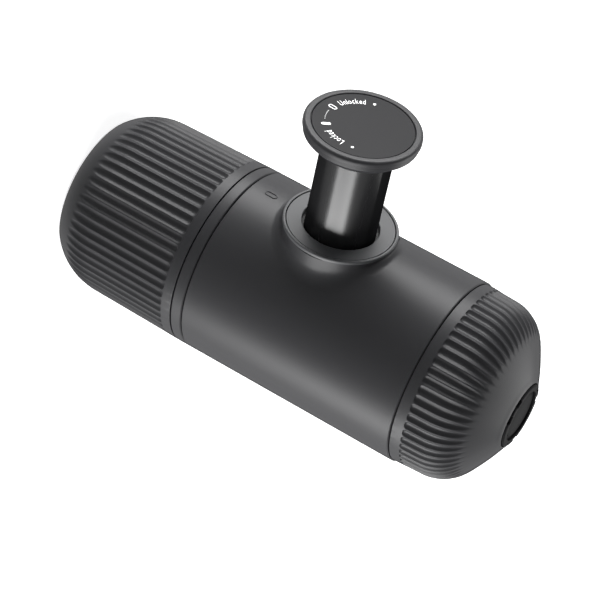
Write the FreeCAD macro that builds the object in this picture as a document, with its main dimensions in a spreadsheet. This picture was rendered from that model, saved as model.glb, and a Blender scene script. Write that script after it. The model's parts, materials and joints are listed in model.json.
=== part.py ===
import FreeCAD, Part
import math
import os
import Sketcher

# A handheld manual espresso maker. Millimetres. +Z runs up the barrel from the flat base of the
# drinking cup to the outlet, and the piston points to -Y. The origin is the centre of the base.
# Along the piston's axis, "out" is the distance from the barrel's axis towards the push pad.

Vector = FreeCAD.Vector

SIZES = [
    # barrel
    ("body_radius", 30.7, "outer radius of the barrel"),
    ("body_length", 75.7, "seam of the tank band to seam of the outlet head"),
    ("body_wall", 2.2, "wall of the barrel"),
    ("edge_bevel", 0.3, "small bevel on the edges at the seams"),
    ("seam_gap", 0.3, "open line between pieces that screw or push together"),
    ("part_gap", 0.3, "room between pieces that move past each other"),
    ("slip_gap", 0.07, "radial room of a running fit"),
    ("thread_gap", 0.3, "radial room between thread crest and bore"),
    # drinking cup
    ("cup_height", 48.3, "base to the cup's seam"),
    ("cup_taper", 0.9, "degrees, narrowing towards the base"),
    ("cup_shoulder_height", 15.3, "base to the start of the shoulder"),
    ("cup_shoulder_radius", 21.2, "round of the shoulder"),
    ("cup_edge_radius", 2.0, "round between shoulder and base"),
    ("cup_rim_wall", 2.5, "wall of the cup at its rim"),
    ("cup_floor", 2.2, "thickness of the cup's floor"),
    # flutes
    ("flute_count", 60, "flutes round the cup, and round the head"),
    ("flute_width", 2.1, "width of one flute"),
    ("flute_depth", 0.8, "depth of one flute"),
    ("flute_land", 3.4, "smooth land between a seam and the flutes"),
    ("cup_flute_turn", 34.0, "degrees of the cup's shoulder that the flutes cover"),
    ("head_flute_turn", 43.0, "degrees of the head's shoulder that the flutes cover"),
    # water tank
    ("band_height", 4.05, "height of the band that shows between cup and body"),
    ("tank_room", 1.0, "room between cup and tank"),
    ("tank_wall", 2.0, "wall of the tank"),
    ("cup_seat_length", 4.0, "length of the tank's seat for the cup's rim"),
    ("cup_seat_gap", 0.1, "radial room of the cup on its seat"),
    ("cup_seat_lead", 1.0, "slope below that seat"),
    ("tank_gasket_thickness", 1.5, "flat ring on the neck"),
    # chassis
    ("bulkhead_thickness", 3.0, "each round end of the chassis"),
    ("lower_bay", 6.3, "lower bulkhead to the shelf under the piston tube"),
    ("upper_bay", 8.0, "shelf over the piston tube to the upper bulkhead"),
    ("back_wall", 3.9, "back wall of the chassis at its thickest"),
    ("shelf_gap", 0.62, "room between the piston tube and the chassis' shelves"),
    ("valve_inset", 6.6, "back wall to the valves' axis"),
    ("valve_bore_radius", 4.0, "bore that takes a valve's flange"),
    ("valve_flange_thickness", 0.8, "flange of a duckbill valve"),
    ("valve_stem_radius", 2.4, "stem of a duckbill valve"),
    ("valve_stem_length", 4.4, "stem and bill of a duckbill valve"),
    ("valve_hole_radius", 1.3, "way through a valve"),
    ("bill_height", 2.4, "flattened end of a valve"),
    ("bill_half_width", 0.45, "half the thickness of the bill's lips"),
    ("retainer_thickness", 1.5, "ring that holds a valve"),
    ("retainer_lip", 0.5, "hole of that ring beyond the valve's hole"),
    ("passage_radius", 0.8, "water passage in the chassis"),
    ("riser_radius", 1.0, "passage up the back wall"),
    ("riser_end", 1.5, "riser beyond each passage"),
    ("riser_depth", 1.6, "face of the back wall to the riser's axis"),
    ("plenum_height", 1.6, "space where a valve meets its passage"),
    ("roof_thickness", 1.0, "material over a plenum"),
    ("air_valve_side", 12.0, "air valve to the side of the barrel's axis"),
    ("air_valve_inset", 14.5, "air valve from the barrel's wall, on the piston's side"),
    ("filter_radius", 6.0, "screen over the intake"),
    ("filter_thickness", 1.0, "rim of that screen"),
    ("filter_rim_width", 1.0, "width of that rim"),
    # collar
    ("pump_drop", 5.9, "barrel's middle down to the piston's axis"),
    ("boss_radius", 17.8, "round collar on the barrel"),
    ("boss_rise", 3.05, "collar's rim above the barrel's crest"),
    ("boss_bevel", 0.6, "bevel on the collar's rim"),
    ("blend_crest", 2.3, "blend of the collar into the barrel's crest"),
    ("blend_side", 7.5, "blend of the collar into the barrel's sides"),
    ("ring_gap", 0.2, "dark line round the collar's ring"),
    ("rim_width", 0.55, "rim of the collar round that line"),
    ("ring_sink", 0.15, "ring below the rim"),
    ("ring_thickness", 2.0, "ring in the collar"),
    ("ring_room", 0.85, "open line between the ring and the piston tube"),
    ("wiper_thickness", 1.5, "lip seal under the ring"),
    ("bush_wall", 3.35, "wall of the guide bush"),
    ("bush_length", 10.1, "length of the guide bush"),
    # piston
    ("tube_radius", 11.08, "outside of the piston tube"),
    ("tube_wall", 1.58, "wall of the piston tube"),
    ("tube_tail", 7.9, "piston tube beyond its lock lugs"),
    ("lug_height", 1.92, "lock lug beyond the tube's wall"),
    ("lug_thickness", 2.0, "lug along the axis"),
    ("lug_half_angle", 15.0, "degrees each side of a lug's middle"),
    ("pad_radius", 17.45, "push pad"),
    ("pad_thickness", 6.0, "push pad along the axis"),
    ("pad_rest_gap", 0.5, "pad to collar with the piston pressed"),
    ("pad_rim_width", 1.8, "rim of the pad round its disc"),
    ("pad_rim_bevel", 1.2, "bevel outside the rim"),
    ("pad_under_bevel", 2.4, "bevel under the pad"),
    ("pad_plate_thickness", 2.0, "plate of the pad that the rod passes through"),
    ("disc_gap", 0.15, "line round the disc"),
    ("disc_thickness", 0.6, "disc in the pad"),
    ("disc_sink", 0.2, "disc below the rim"),
    ("cap_screw_radius", 4.2, "head of the pad's screw"),
    ("cap_screw_height", 1.4, "height of that head"),
    ("cap_screw_shank_radius", 1.4, "its shank"),
    ("cap_screw_shank_length", 8.0, "length of its shank"),
    ("rod_radius", 3.0, "plunger rod"),
    ("rod_seat", 3.0, "depth of the rod in the plunger"),
    ("spring_seat_thickness", 1.5, "flange of the rod that the spring bears on"),
    ("wire_radius", 0.8, "wire of the return spring"),
    ("spring_turns", 8, "turns of the return spring"),
    ("plunger_length", 5.0, "plunger along the axis"),
    ("seal_width", 1.6, "lip seal on the plunger"),
    ("seal_depth", 1.7, "depth of its groove"),
    ("cylinder_room", 1.0, "room between the piston tube and the pump cylinder in it"),
    ("cylinder_wall", 1.5, "wall of the pump cylinder"),
    ("cylinder_mouth", 0.9, "cylinder beyond the plunger, piston out"),
    ("dead_room", 0.8, "room under the plunger, piston pressed"),
    ("flange_width", 2.5, "foot flange of the cylinder beyond its wall"),
    ("flange_thickness", 2.2, "its thickness"),
    ("flange_room", 0.6, "room between tube and flange, piston pressed"),
    ("bore_floor", 0.7, "floor of the bore inside the flange"),
    ("spigot_radius", 6.0, "spigot of the cylinder in the back wall"),
    ("spigot_length", 3.0, "length of that spigot"),
    ("port_radius", 1.2, "port from the bore to the passage"),
    ("foot_gasket_thickness", 0.8, "seal under the flange"),
    # lock
    ("lock_gap", 0.5, "room between a lug and the lock plate"),
    ("plate_thickness", 2.0, "lock plate"),
    ("plate_half_width", 16.0, "half the width of the lock plate"),
    ("plate_margin", 0.6, "plate clear of the bulkheads"),
    ("notch_gap", 0.4, "room round a lug in its notch"),
    ("notch_extra_angle", 3.0, "degrees of room each side of a lug"),
    ("lock_screw_side", 11.0, "lock screws to the side of the axis"),
    ("lock_screw_radius", 2.1, "head across its flats, halved"),
    ("lock_screw_height", 1.5, "height of that head"),
    ("lock_screw_shank_radius", 1.1, "shank of a lock screw"),
    ("lock_screw_length", 5.0, "shank in the chassis"),
    # brewing side
    ("screen_room", 1.0, "room between shower screen and basket"),
    ("screen_thickness", 0.6, "plate of the shower screen"),
    ("screen_stand", 0.7, "plate off the chassis"),
    ("screen_rim_width", 1.3, "rim of the shower screen"),
    ("screen_slots", 12, "slots in the shower screen"),
    ("screen_screw_radius", 3.0, "head of its screw"),
    ("screen_screw_height", 0.7, "height of that head"),
    ("screen_screw_shank_radius", 1.6, "its shank"),
    ("screen_screw_length", 2.5, "shank in the chassis"),
    ("brew_gasket_width", 3.2, "ring that seals the basket"),
    ("brew_gasket_thickness", 2.0, "its thickness"),
    ("basket_sheet", 0.8, "sheet of the basket"),
    ("basket_lift", 4.95, "basket's floor below the head seam"),
    ("basket_flange_width", 3.2, "flange of the basket"),
    ("basket_slots", 16, "slots in the basket's floor"),
    ("basket_slot_start", 6.0, "axis to the slots of the basket"),
    ("slot_width", 0.7, "width of a slot in basket and screen"),
    ("slot_inset", 2.0, "plain sheet at the end of a slot"),
    ("basket_room", 0.4, "room between basket and portafilter"),
    ("holder_wall", 4.2, "wall of the portafilter at its thread"),
    ("funnel_drop", 8.0, "depth of the funnel"),
    ("funnel_land", 0.8, "basket's floor to the funnel"),
    ("spout_bore_radius", 3.0, "way through the spout"),
    ("holder_skirt", 2.8, "portafilter above the head seam"),
    ("holder_spigot_radius", 6.0, "spigot of the portafilter"),
    ("holder_spigot_length", 4.0, "length of that spigot"),
    ("spout_wall", 2.0, "wall of the spout"),
    ("spout_overlap", 1.8, "flange of the spout beyond the opening in the dome"),
    ("spout_gap", 0.11, "least room between that flange and the dome"),
    ("spout_flange_thickness", 1.5, "thickness of that flange"),
    # outlet head
    ("head_height", 27.4, "head seam to the rim of the opening"),
    ("head_step", 0.4, "head inside the barrel's outline at the seam"),
    ("head_taper", 2.5, "degrees, narrowing towards the outlet"),
    ("head_straight", 9.7, "head seam to the start of the shoulder"),
    ("head_shoulder_radius", 13.6, "round of the shoulder"),
    ("head_shoulder_angle", 58.5, "degrees at the end of the shoulder"),
    ("head_dome_radius", 85.0, "round of the dome"),
    ("head_wall", 2.0, "wall of the head"),
    ("head_socket", 4.9, "depth of the head's socket for the portafilter"),
    ("opening_radius", 10.8, "opening in the dome"),
    ("cover_gap", 0.3, "line round the outlet cover"),
    ("cover_dome", 0.55, "rise of the cover's face above the rim of the opening"),
    ("cover_rim_width", 2.1, "raised rim of the cover's face"),
    ("cover_groove_width", 1.2, "groove inside that rim"),
    ("cover_groove_depth", 0.8, "depth of that groove"),
    ("cover_plug_length", 3.0, "plug of the cover in the spout"),
    ("cover_notch_pairs", 3, "pairs of finger notches in the cover"),
    ("cover_notch_angle", 16.0, "degrees from a pair's middle to each notch"),
    ("cover_notch_width", 3.0, "width of a notch"),
    ("cover_notch_depth", 1.0, "depth of a notch"),
]

doc = FreeCAD.newDocument("EspressoMaker")

sheet = doc.addObject("Spreadsheet::Sheet", "Sizes")
for row, (alias, value, meaning) in enumerate(SIZES, start=1):
    sheet.set("A%d" % row, alias)
    sheet.set("B%d" % row, str(value))
    sheet.set("C%d" % row, meaning)
    sheet.setAlias("B%d" % row, alias)
doc.recompute()


class Size:
    """A number together with the formula that gives it from the sheet."""

    def __init__(self, value, formula):
        self.value = float(value)
        self.formula = formula

    def __add__(self, other):
        other = as_size(other)
        return Size(self.value + other.value, "(%s + %s)" % (self.formula, other.formula))

    def __sub__(self, other):
        other = as_size(other)
        return Size(self.value - other.value, "(%s - %s)" % (self.formula, other.formula))

    def __mul__(self, other):
        other = as_size(other)
        return Size(self.value * other.value, "(%s * %s)" % (self.formula, other.formula))

    def __truediv__(self, other):
        other = as_size(other)
        return Size(self.value / other.value, "(%s / %s)" % (self.formula, other.formula))

    def __radd__(self, other):
        return as_size(other) + self

    def __rsub__(self, other):
        return as_size(other) - self

    def __rmul__(self, other):
        return as_size(other) * self

    def __neg__(self):
        return Size(-self.value, "(0 - %s)" % self.formula)


def as_size(number):
    return number if isinstance(number, Size) else Size(number, repr(number))


def cell(alias):
    return Size(sheet.get(alias), "Sizes." + alias)


def sin(angle):
    return Size(math.sin(math.radians(angle.value)), "sin(%s)" % angle.formula)


def cos(angle):
    return Size(math.cos(math.radians(angle.value)), "cos(%s)" % angle.formula)


def tan(angle):
    return Size(math.tan(math.radians(angle.value)), "tan(%s)" % angle.formula)


def leg(hypotenuse, other_leg):
    """The second leg of a right-angled triangle."""
    squares = hypotenuse * hypotenuse - other_leg * other_leg
    return Size(math.sqrt(squares.value), "sqrt(%s)" % squares.formula)


for alias, _, _ in SIZES:
    globals()[alias] = cell(alias)

# --- radii ---------------------------------------------------------------------------------------
body_bore_radius = body_radius - body_wall
thread_radius = body_bore_radius - thread_gap
cup_bore_radius = body_radius - cup_rim_wall
head_radius = body_radius - head_step
tube_bore_radius = tube_radius - tube_wall
lug_radius = tube_radius + lug_height
ring_hole_radius = tube_radius + ring_room
bush_radius = tube_radius + slip_gap + bush_wall
cylinder_radius = tube_bore_radius - cylinder_room
cylinder_bore_radius = cylinder_radius - cylinder_wall
flange_radius = cylinder_radius + flange_width
shelf_half_height = tube_radius + shelf_gap

# --- heights up the barrel ---------------------------------------------------------------------
half_seam = seam_gap / 2
cup_rim = cup_height - half_seam
band_bottom = cup_height + half_seam
body_bottom_seam = cup_height + band_height
band_top = body_bottom_seam - half_seam
body_bottom = body_bottom_seam + half_seam
head_seam = body_bottom_seam + body_length
body_top = head_seam - half_seam
head_bottom = head_seam + half_seam
opening_rim = head_seam + head_height
pump_height = body_bottom_seam + body_length / 2 - pump_drop
lower_deck = pump_height - shelf_half_height - lower_bay
chassis_bottom = lower_deck - bulkhead_thickness
upper_deck = pump_height + shelf_half_height + upper_bay
chassis_top = upper_deck + bulkhead_thickness
gasket_top = chassis_bottom - part_gap
neck_top = gasket_top - tank_gasket_thickness

# --- distances out along the piston's axis -----------------------------------------------------
# The stroke is the room that the barrel leaves between the tube's end and the cylinder's flange.
wall_reach = body_bore_radius - back_wall
passage_reach = wall_reach + riser_depth
valve_reach = wall_reach - valve_inset
air_valve_reach = body_bore_radius - air_valve_inset
flange_back = foot_gasket_thickness - wall_reach
flange_front = flange_back + flange_thickness
bore_end = flange_back + bore_floor
boss_reach = body_radius + boss_rise
ring_top = boss_reach - ring_sink
ring_bottom = ring_top - ring_thickness
bush_top = ring_bottom - wiper_thickness
bush_end = bush_top - bush_length
lug_top = bush_end - part_gap
lug_bottom = lug_top - lug_thickness
tube_end = lug_bottom - tube_tail
stroke = tube_end - flange_front - flange_room
plate_back = lug_top - stroke + lock_gap
plate_front = plate_back + plate_thickness
pad_bottom = boss_reach + pad_rest_gap + stroke
pad_reach = pad_bottom + pad_thickness
plunger_bottom = bore_end + dead_room + stroke
plunger_top = plunger_bottom + plunger_length
cylinder_front = plunger_top + cylinder_mouth
disc_bottom = pad_reach - disc_sink - disc_thickness
screw_floor = disc_bottom - cap_screw_height - part_gap * 2
pad_ceiling = screw_floor - pad_plate_thickness
rod_top = screw_floor + part_gap
spring_seat_top = pad_ceiling - part_gap
spring_seat_bottom = spring_seat_top - spring_seat_thickness


# --- building blocks ---------------------------------------------------------------------------
def new_body(label, base=(0, 0, 0), tilt=(1, 0, 0, 0)):
    """A body at a place given by sizes, turned by tilt: an axis and an angle in degrees."""
    body = doc.addObject("PartDesign::Body", label)
    body.Label = label
    base = [as_size(part) for part in base]
    turn = FreeCAD.Rotation(Vector(*tilt[:3]), tilt[3])
    body.Placement = FreeCAD.Placement(Vector(*[part.value for part in base]), turn)
    for name, part in zip("xyz", base):
        body.setExpression("Placement.Base." + name, part.formula)
    return body


def pump_body(label):
    """A body whose own +Z points out along the piston's axis, and whose own +Y points up."""
    return new_body(label, (0, 0, pump_height), (1, 0, 0, 90))


def new_sketch(body, name, plane="XZ_Plane", offset=0):
    sketch = body.newObject("Sketcher::SketchObject", name)
    support = [item for item in body.Origin.OriginFeatures if item.Role == plane][0]
    sketch.AttachmentSupport = (support, "")
    sketch.MapMode = "FlatFace"
    sketch.setExpression("AttachmentOffset.Base.z", as_size(offset).formula)
    return sketch


def bind(sketch, constraint, size):
    index = sketch.addConstraint(constraint)
    sketch.setExpression("Constraints[%d]" % index, size.formula)


def pin_point(sketch, geometry, end, x, y):
    """Fixes a point of the sketch at sizes x and y, or on an axis where one is zero."""
    if x.value == 0:
        sketch.addConstraint(Sketcher.Constraint("PointOnObject", geometry, end, -2))
    else:
        bind(sketch, Sketcher.Constraint("DistanceX", -1, 1, geometry, end, x.value), x)
    if y.value == 0:
        sketch.addConstraint(Sketcher.Constraint("PointOnObject", geometry, end, -1))
    else:
        bind(sketch, Sketcher.Constraint("DistanceY", -1, 1, geometry, end, y.value), y)


def draw(sketch, corners):
    """Draws a closed outline. A corner is (x, y), or (x, y, radius) where a round leads on from it
    to the next corner: a positive radius bulges to the right of the way there."""
    corners = [tuple(as_size(part) for part in corner) for corner in corners]
    ends = []
    for index, corner in enumerate(corners):
        following = corners[(index + 1) % len(corners)]
        start = Vector(corner[0].value, corner[1].value, 0)
        stop = Vector(following[0].value, following[1].value, 0)
        if len(corner) == 2:
            geometry = sketch.addGeometry(Part.LineSegment(start, stop))
            ends.append((geometry, 1, 2))
            continue
        radius = abs(corner[2].value)
        chord = stop - start
        left = Vector(-chord.y, chord.x, 0).normalize()
        height = math.sqrt(max(radius**2 - (chord.Length / 2) ** 2, 0.0))
        right_bulge = corner[2].value > 0
        centre = (start + stop) * 0.5 + left * (height if right_bulge else -height)
        first, last = (start, stop) if right_bulge else (stop, start)
        arc = Part.ArcOfCircle(
            Part.Circle(centre, Vector(0, 0, 1), radius),
            math.atan2(first.y - centre.y, first.x - centre.x),
            math.atan2(last.y - centre.y, last.x - centre.x),
        )
        geometry = sketch.addGeometry(arc)
        ends.append((geometry, 1, 2) if right_bulge else (geometry, 2, 1))
        size = corner[2] if right_bulge else -corner[2]
        bind(sketch, Sketcher.Constraint("Radius", geometry, radius), size)
    for index, (geometry, start_end, _) in enumerate(ends):
        before, _, before_end = ends[index - 1]
        sketch.addConstraint(Sketcher.Constraint("Coincident", before, before_end, geometry, start_end))
        pin_point(sketch, geometry, start_end, corners[index][0], corners[index][1])


def draw_circle(sketch, radius, x=0, y=0):
    radius, x, y = as_size(radius), as_size(x), as_size(y)
    circle = Part.Circle(Vector(x.value, y.value, 0), Vector(0, 0, 1), radius.value)
    geometry = sketch.addGeometry(circle)
    bind(sketch, Sketcher.Constraint("Radius", geometry, radius.value), radius)
    pin_point(sketch, geometry, 3, x, y)


def revolve(body, corners, name="Profile", cut=False):
    """Turns an outline of (radius, height) corners round the body's own Z axis."""
    sketch = new_sketch(body, name)
    draw(sketch, corners)
    kind = "PartDesign::Groove" if cut else "PartDesign::Revolution"
    feature = body.newObject(kind, name + "Turn")
    feature.Profile = sketch
    feature.ReferenceAxis = (sketch, ["V_Axis"])
    feature.Angle = 360
    return feature


def pad(body, sketch, length, reverse=False):
    feature = body.newObject("PartDesign::Pad", sketch.Name + "Pad")
    feature.Profile = sketch
    feature.setExpression("Length", as_size(length).formula)
    feature.Reversed = reverse
    return feature


def pocket(body, sketch, length=None, both_ways=False, reverse=False):
    """Cuts a sketch to a length, or right through where no length is given."""
    feature = body.newObject("PartDesign::Pocket", sketch.Name + "Pocket")
    feature.Profile = sketch
    feature.Type = "ThroughAll" if length is None else "Length"
    if length is not None:
        feature.setExpression("Length", as_size(length).formula)
    feature.SideType = "Symmetric" if both_ways else "One side"
    feature.Reversed = reverse
    return feature


def pattern(body, feature, count):
    """Repeats a feature round the body's own Z axis."""
    axis = [item for item in body.Origin.OriginFeatures if item.Role == "Z_Axis"][0]
    polar = body.newObject("PartDesign::PolarPattern", feature.Name + "Pattern")
    polar.Originals = [feature]
    polar.Axis = (axis, [""])
    polar.Angle = 360
    polar.setExpression("Occurrences", as_size(count).formula)
    body.Tip = polar
    return polar


def ring(label, inner, outer, low, high, make_body=new_body):
    body = make_body(label)
    revolve(body, [(inner, low), (outer, low), (outer, high), (inner, high)])
    return body


def polar_point(radius, angle):
    return radius * cos(angle), radius * sin(angle)


def cylinder(label, radius, length, place, turn=(1, 0, 0, 0), angle=360):
    """A Part cylinder that starts at a place given by sizes and points along the turned +Z."""
    solid = doc.addObject("Part::Cylinder", label)
    place = [as_size(part) for part in place]
    solid.setExpression("Radius", as_size(radius).formula)
    solid.setExpression("Height", as_size(length).formula)
    solid.Angle = angle
    rotation = FreeCAD.Rotation(Vector(*turn[:3]), turn[3])
    solid.Placement = FreeCAD.Placement(Vector(*[part.value for part in place]), rotation)
    for name, part in zip("xyz", place):
        solid.setExpression("Placement.Base." + name, part.formula)
    return solid


def fuse(label, solids):
    union = doc.addObject("Part::MultiFuse", label)
    union.Shapes = solids
    union.Refine = False
    return union


def cut(label, base, tool):
    difference = doc.addObject("Part::Cut", label)
    difference.Base = base
    difference.Tool = tool
    return difference


# --- drinking cup ------------------------------------------------------------------------------
# Straight tapered wall, a large round shoulder and a small round into the flat base. The inside
# and the tank in it share the shoulder's centre.
shoulder_start_radius = body_radius - (cup_height - cup_shoulder_height) * tan(cup_taper)
shoulder_centre_radius = shoulder_start_radius - cup_shoulder_radius * cos(cup_taper)
shoulder_centre_height = cup_shoulder_height + cup_shoulder_radius * sin(cup_taper)
edge_centre_radius = shoulder_centre_radius + leg(
    cup_shoulder_radius - cup_edge_radius, shoulder_centre_height - cup_edge_radius
)
edge_share = cup_shoulder_radius / (cup_shoulder_radius - cup_edge_radius)
edge_start_radius = shoulder_centre_radius + (edge_centre_radius - shoulder_centre_radius) * edge_share
edge_start_height = shoulder_centre_height + (cup_edge_radius - shoulder_centre_height) * edge_share


def flute_bottom_radius(shoulder_radius, turn):
    """The round of a flute's bottom, which leaves the shoulder where the flute fades out."""
    fall = shoulder_radius * (1 - cos(turn))
    return (flute_depth * flute_depth / 2 + fall * (shoulder_radius - flute_depth)) / (
        fall - flute_depth
    )


def cut_flutes(body, wall, start, shoulder, taper, shoulder_radius, turn, up):
    """Cuts the flutes from a sketch in the plane of the axis, and repeats them round it.
    wall(height) is the wall's radius, and up is 1 where the shoulder lies above the start."""
    bottom = flute_bottom_radius(shoulder_radius, turn)
    foot = (wall(shoulder) - flute_depth * cos(taper), shoulder - up * flute_depth * sin(taper))
    centre = (foot[0] - bottom * cos(taper), foot[1] - up * bottom * sin(taper))
    lean = taper + turn + 5
    last = (centre[0] + bottom * cos(lean), centre[1] + up * bottom * sin(lean))
    outside = body_radius + flute_width
    sketch = new_sketch(body, "Flute")
    draw(sketch, [
        (outside, start),
        (wall(start) - flute_depth / cos(taper), start),
        (foot[0], foot[1], bottom * up),
        (last[0], last[1]),
        (outside, last[1]),
    ])
    slot = pocket(body, sketch, flute_width, both_ways=True)
    pattern(body, slot, flute_count)


def cup_wall(height):
    return body_radius - (cup_height - height) * tan(cup_taper)


def make_cup():
    body = new_body("cup", tilt=(0, 0, 1, 4.4))
    bore_arc = cup_bore_radius - shoulder_centre_radius
    floor_radius = shoulder_centre_radius + leg(bore_arc, shoulder_centre_height - cup_floor)
    revolve(body, [
        (0, 0),
        (edge_centre_radius, 0, cup_edge_radius),
        (edge_start_radius, edge_start_height, cup_shoulder_radius),
        (shoulder_start_radius, cup_shoulder_height),
        (cup_wall(cup_rim), cup_rim - edge_bevel),
        (cup_wall(cup_rim) - edge_bevel, cup_rim),
        (cup_bore_radius, cup_rim),
        (cup_bore_radius, shoulder_centre_height, -bore_arc),
        (floor_radius, cup_floor),
        (0, cup_floor),
    ])
    cut_flutes(
        body, cup_wall, cup_rim - flute_land, cup_shoulder_height,
        cup_taper, cup_shoulder_radius, cup_flute_turn, -1,
    )
    return body


# --- water tank --------------------------------------------------------------------------------
def make_water_tank():
    body = new_body("water_tank")
    outer_arc = cup_bore_radius - shoulder_centre_radius - tank_room
    inner_arc = outer_arc - tank_wall
    base = cup_floor + tank_room
    floor = base + tank_wall
    outer = shoulder_centre_radius + outer_arc
    inner = outer - tank_wall
    seat_radius = cup_bore_radius - cup_seat_gap
    seat_bottom = cup_rim - cup_seat_length
    revolve(body, [
        (0, base),
        (shoulder_centre_radius + leg(outer_arc, shoulder_centre_height - base), base, outer_arc),
        (outer, shoulder_centre_height),
        (outer, seat_bottom - cup_seat_lead),
        (seat_radius, seat_bottom),
        (seat_radius, band_bottom),
        (body_radius - edge_bevel, band_bottom),
        (body_radius, band_bottom + edge_bevel),
        (body_radius, band_top - edge_bevel),
        (body_radius - edge_bevel, band_top),
        (thread_radius, band_top),
        (thread_radius, neck_top),
        (inner, neck_top),
        (inner, shoulder_centre_height, -inner_arc),
        (shoulder_centre_radius + leg(inner_arc, shoulder_centre_height - floor), floor),
        (0, floor),
    ])
    return body


def make_tank_gasket():
    inner = cup_bore_radius - tank_room - tank_wall
    return ring("tank_gasket", inner, thread_radius, neck_top, gasket_top)


# --- main body ---------------------------------------------------------------------------------
# The collar is a round boss on the barrel. The blend round its foot grows from the barrel's crest,
# where the boss is low, to its sides, where it is high. One quarter is blended and then mirrored.
def at_boss_wall(point):
    return abs(math.hypot(point.x, point.z - pump_height.value) - boss_radius.value) < 0.01


def at_boss_foot(point):
    at_barrel = abs(math.hypot(point.x, point.y) - body_radius.value) < 0.01
    return at_boss_wall(point) and at_barrel


def at_boss_rim(point):
    return at_boss_wall(point) and abs(point.y + boss_reach.value) < 0.01


def blend_at(point):
    return blend_crest.value if abs(point.x) < 0.01 else blend_side.value


def mirrored(label, source, normal):
    image = doc.addObject("Part::Mirroring", label)
    image.Source = source
    image.Normal = Vector(*normal)
    image.setExpression("Base.z", pump_height.formula)
    return image


def make_main_body():
    half_barrel = cylinder(
        "half_barrel", body_radius, body_length, (0, 0, pump_height), (0, 0, 1, -90), angle=180
    )
    quarter_boss = cylinder(
        "quarter_boss", boss_radius, boss_reach, (0, 0, pump_height), (1, 0, 0, 90), angle=90
    )
    quarter = fuse("plain_quarter", [half_barrel, quarter_boss])
    doc.recompute()

    blended = doc.addObject("Part::Fillet", "blended_quarter")
    blended.Base = quarter
    blended.Edges = [
        (number, *[blend_at(vertex.Point) for vertex in edge.Vertexes])
        for number, edge in enumerate(quarter.Shape.Edges, start=1)
        if all(at_boss_foot(vertex.Point) for vertex in edge.Vertexes)
    ]
    doc.recompute()

    upper_right = doc.addObject("Part::Chamfer", "bevelled_quarter")
    upper_right.Base = blended
    upper_right.Edges = [
        (number, boss_bevel.value, boss_bevel.value)
        for number, edge in enumerate(blended.Shape.Edges, start=1)
        if all(at_boss_rim(vertex.Point) for vertex in edge.Vertexes)
    ]
    lower_right = mirrored("lower_right_quarter", upper_right, (0, 0, 1))
    upper_left = mirrored("upper_left_quarter", upper_right, (1, 0, 0))
    lower_left = mirrored("lower_left_quarter", lower_right, (1, 0, 0))
    bossed = fuse("bossed_barrel", [upper_right, upper_left, lower_right, lower_left])

    # The ends are trimmed by a solid with slanted ends, which leaves their small bevels.
    trim = new_body("barrel_ends")
    inner = body_radius - edge_bevel
    slant = boss_reach - inner + boss_rise
    revolve(trim, [
        (0, body_bottom),
        (inner, body_bottom),
        (inner + slant, body_bottom + slant),
        (inner + slant, body_top - slant),
        (inner, body_top),
        (0, body_top),
    ])
    trimmed = doc.addObject("Part::Common", "trimmed_barrel")
    trimmed.Base = bossed
    trimmed.Tool = trim

    outward = (1, 0, 0, 90)
    bore = cylinder("body_bore", body_bore_radius, body_length * 2, (0, 0, body_bottom - body_wall))
    bush_hole = cylinder("bush_hole", bush_radius, boss_reach, (0, 0, pump_height), outward)
    recess_radius = boss_radius - rim_width
    recess = cylinder(
        "ring_recess", recess_radius, boss_reach, (0, -ring_bottom, pump_height), outward
    )
    hollow = fuse("body_hollow", [bore, bush_hole, recess])
    body = cut("main_body", trimmed, hollow)
    return body


def make_collar_ring():
    outer = boss_radius - rim_width - ring_gap
    body = pump_body("collar_ring")
    revolve(body, [
        (ring_hole_radius, ring_bottom),
        (outer, ring_bottom),
        (outer, ring_top),
        (ring_hole_radius + edge_bevel, ring_top),
        (ring_hole_radius, ring_top - edge_bevel),
    ])
    return body


def make_wiper_seal():
    body = pump_body("wiper_seal")
    lip = tube_radius + slip_gap
    revolve(body, [
        (lip + wiper_thickness / 3, bush_top),
        (bush_radius, bush_top),
        (bush_radius, ring_bottom),
        (lip, ring_bottom),
        (lip, ring_bottom - wiper_thickness / 3),
    ])
    return body


def make_guide_bush():
    return ring(
        "guide_bush", tube_radius + slip_gap, bush_radius, bush_end, bush_top, pump_body
    )


# --- chassis -----------------------------------------------------------------------------------
intake_roof = pump_height - shelf_half_height - roof_thickness
intake_step = chassis_bottom + retainer_thickness + valve_flange_thickness
intake_passage = intake_roof - passage_radius - part_gap
delivery_floor = pump_height + shelf_half_height + roof_thickness
delivery_step = delivery_floor + plenum_height + passage_radius
delivery_passage = delivery_floor + passage_radius + part_gap
stem_room = valve_stem_radius + part_gap * 2
shelf_top = pump_height - shelf_half_height
shelf_bottom = pump_height + shelf_half_height
lower_screw_height = (lower_deck + shelf_top) / 2
upper_screw_height = (shelf_bottom + upper_deck) / 2


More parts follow.
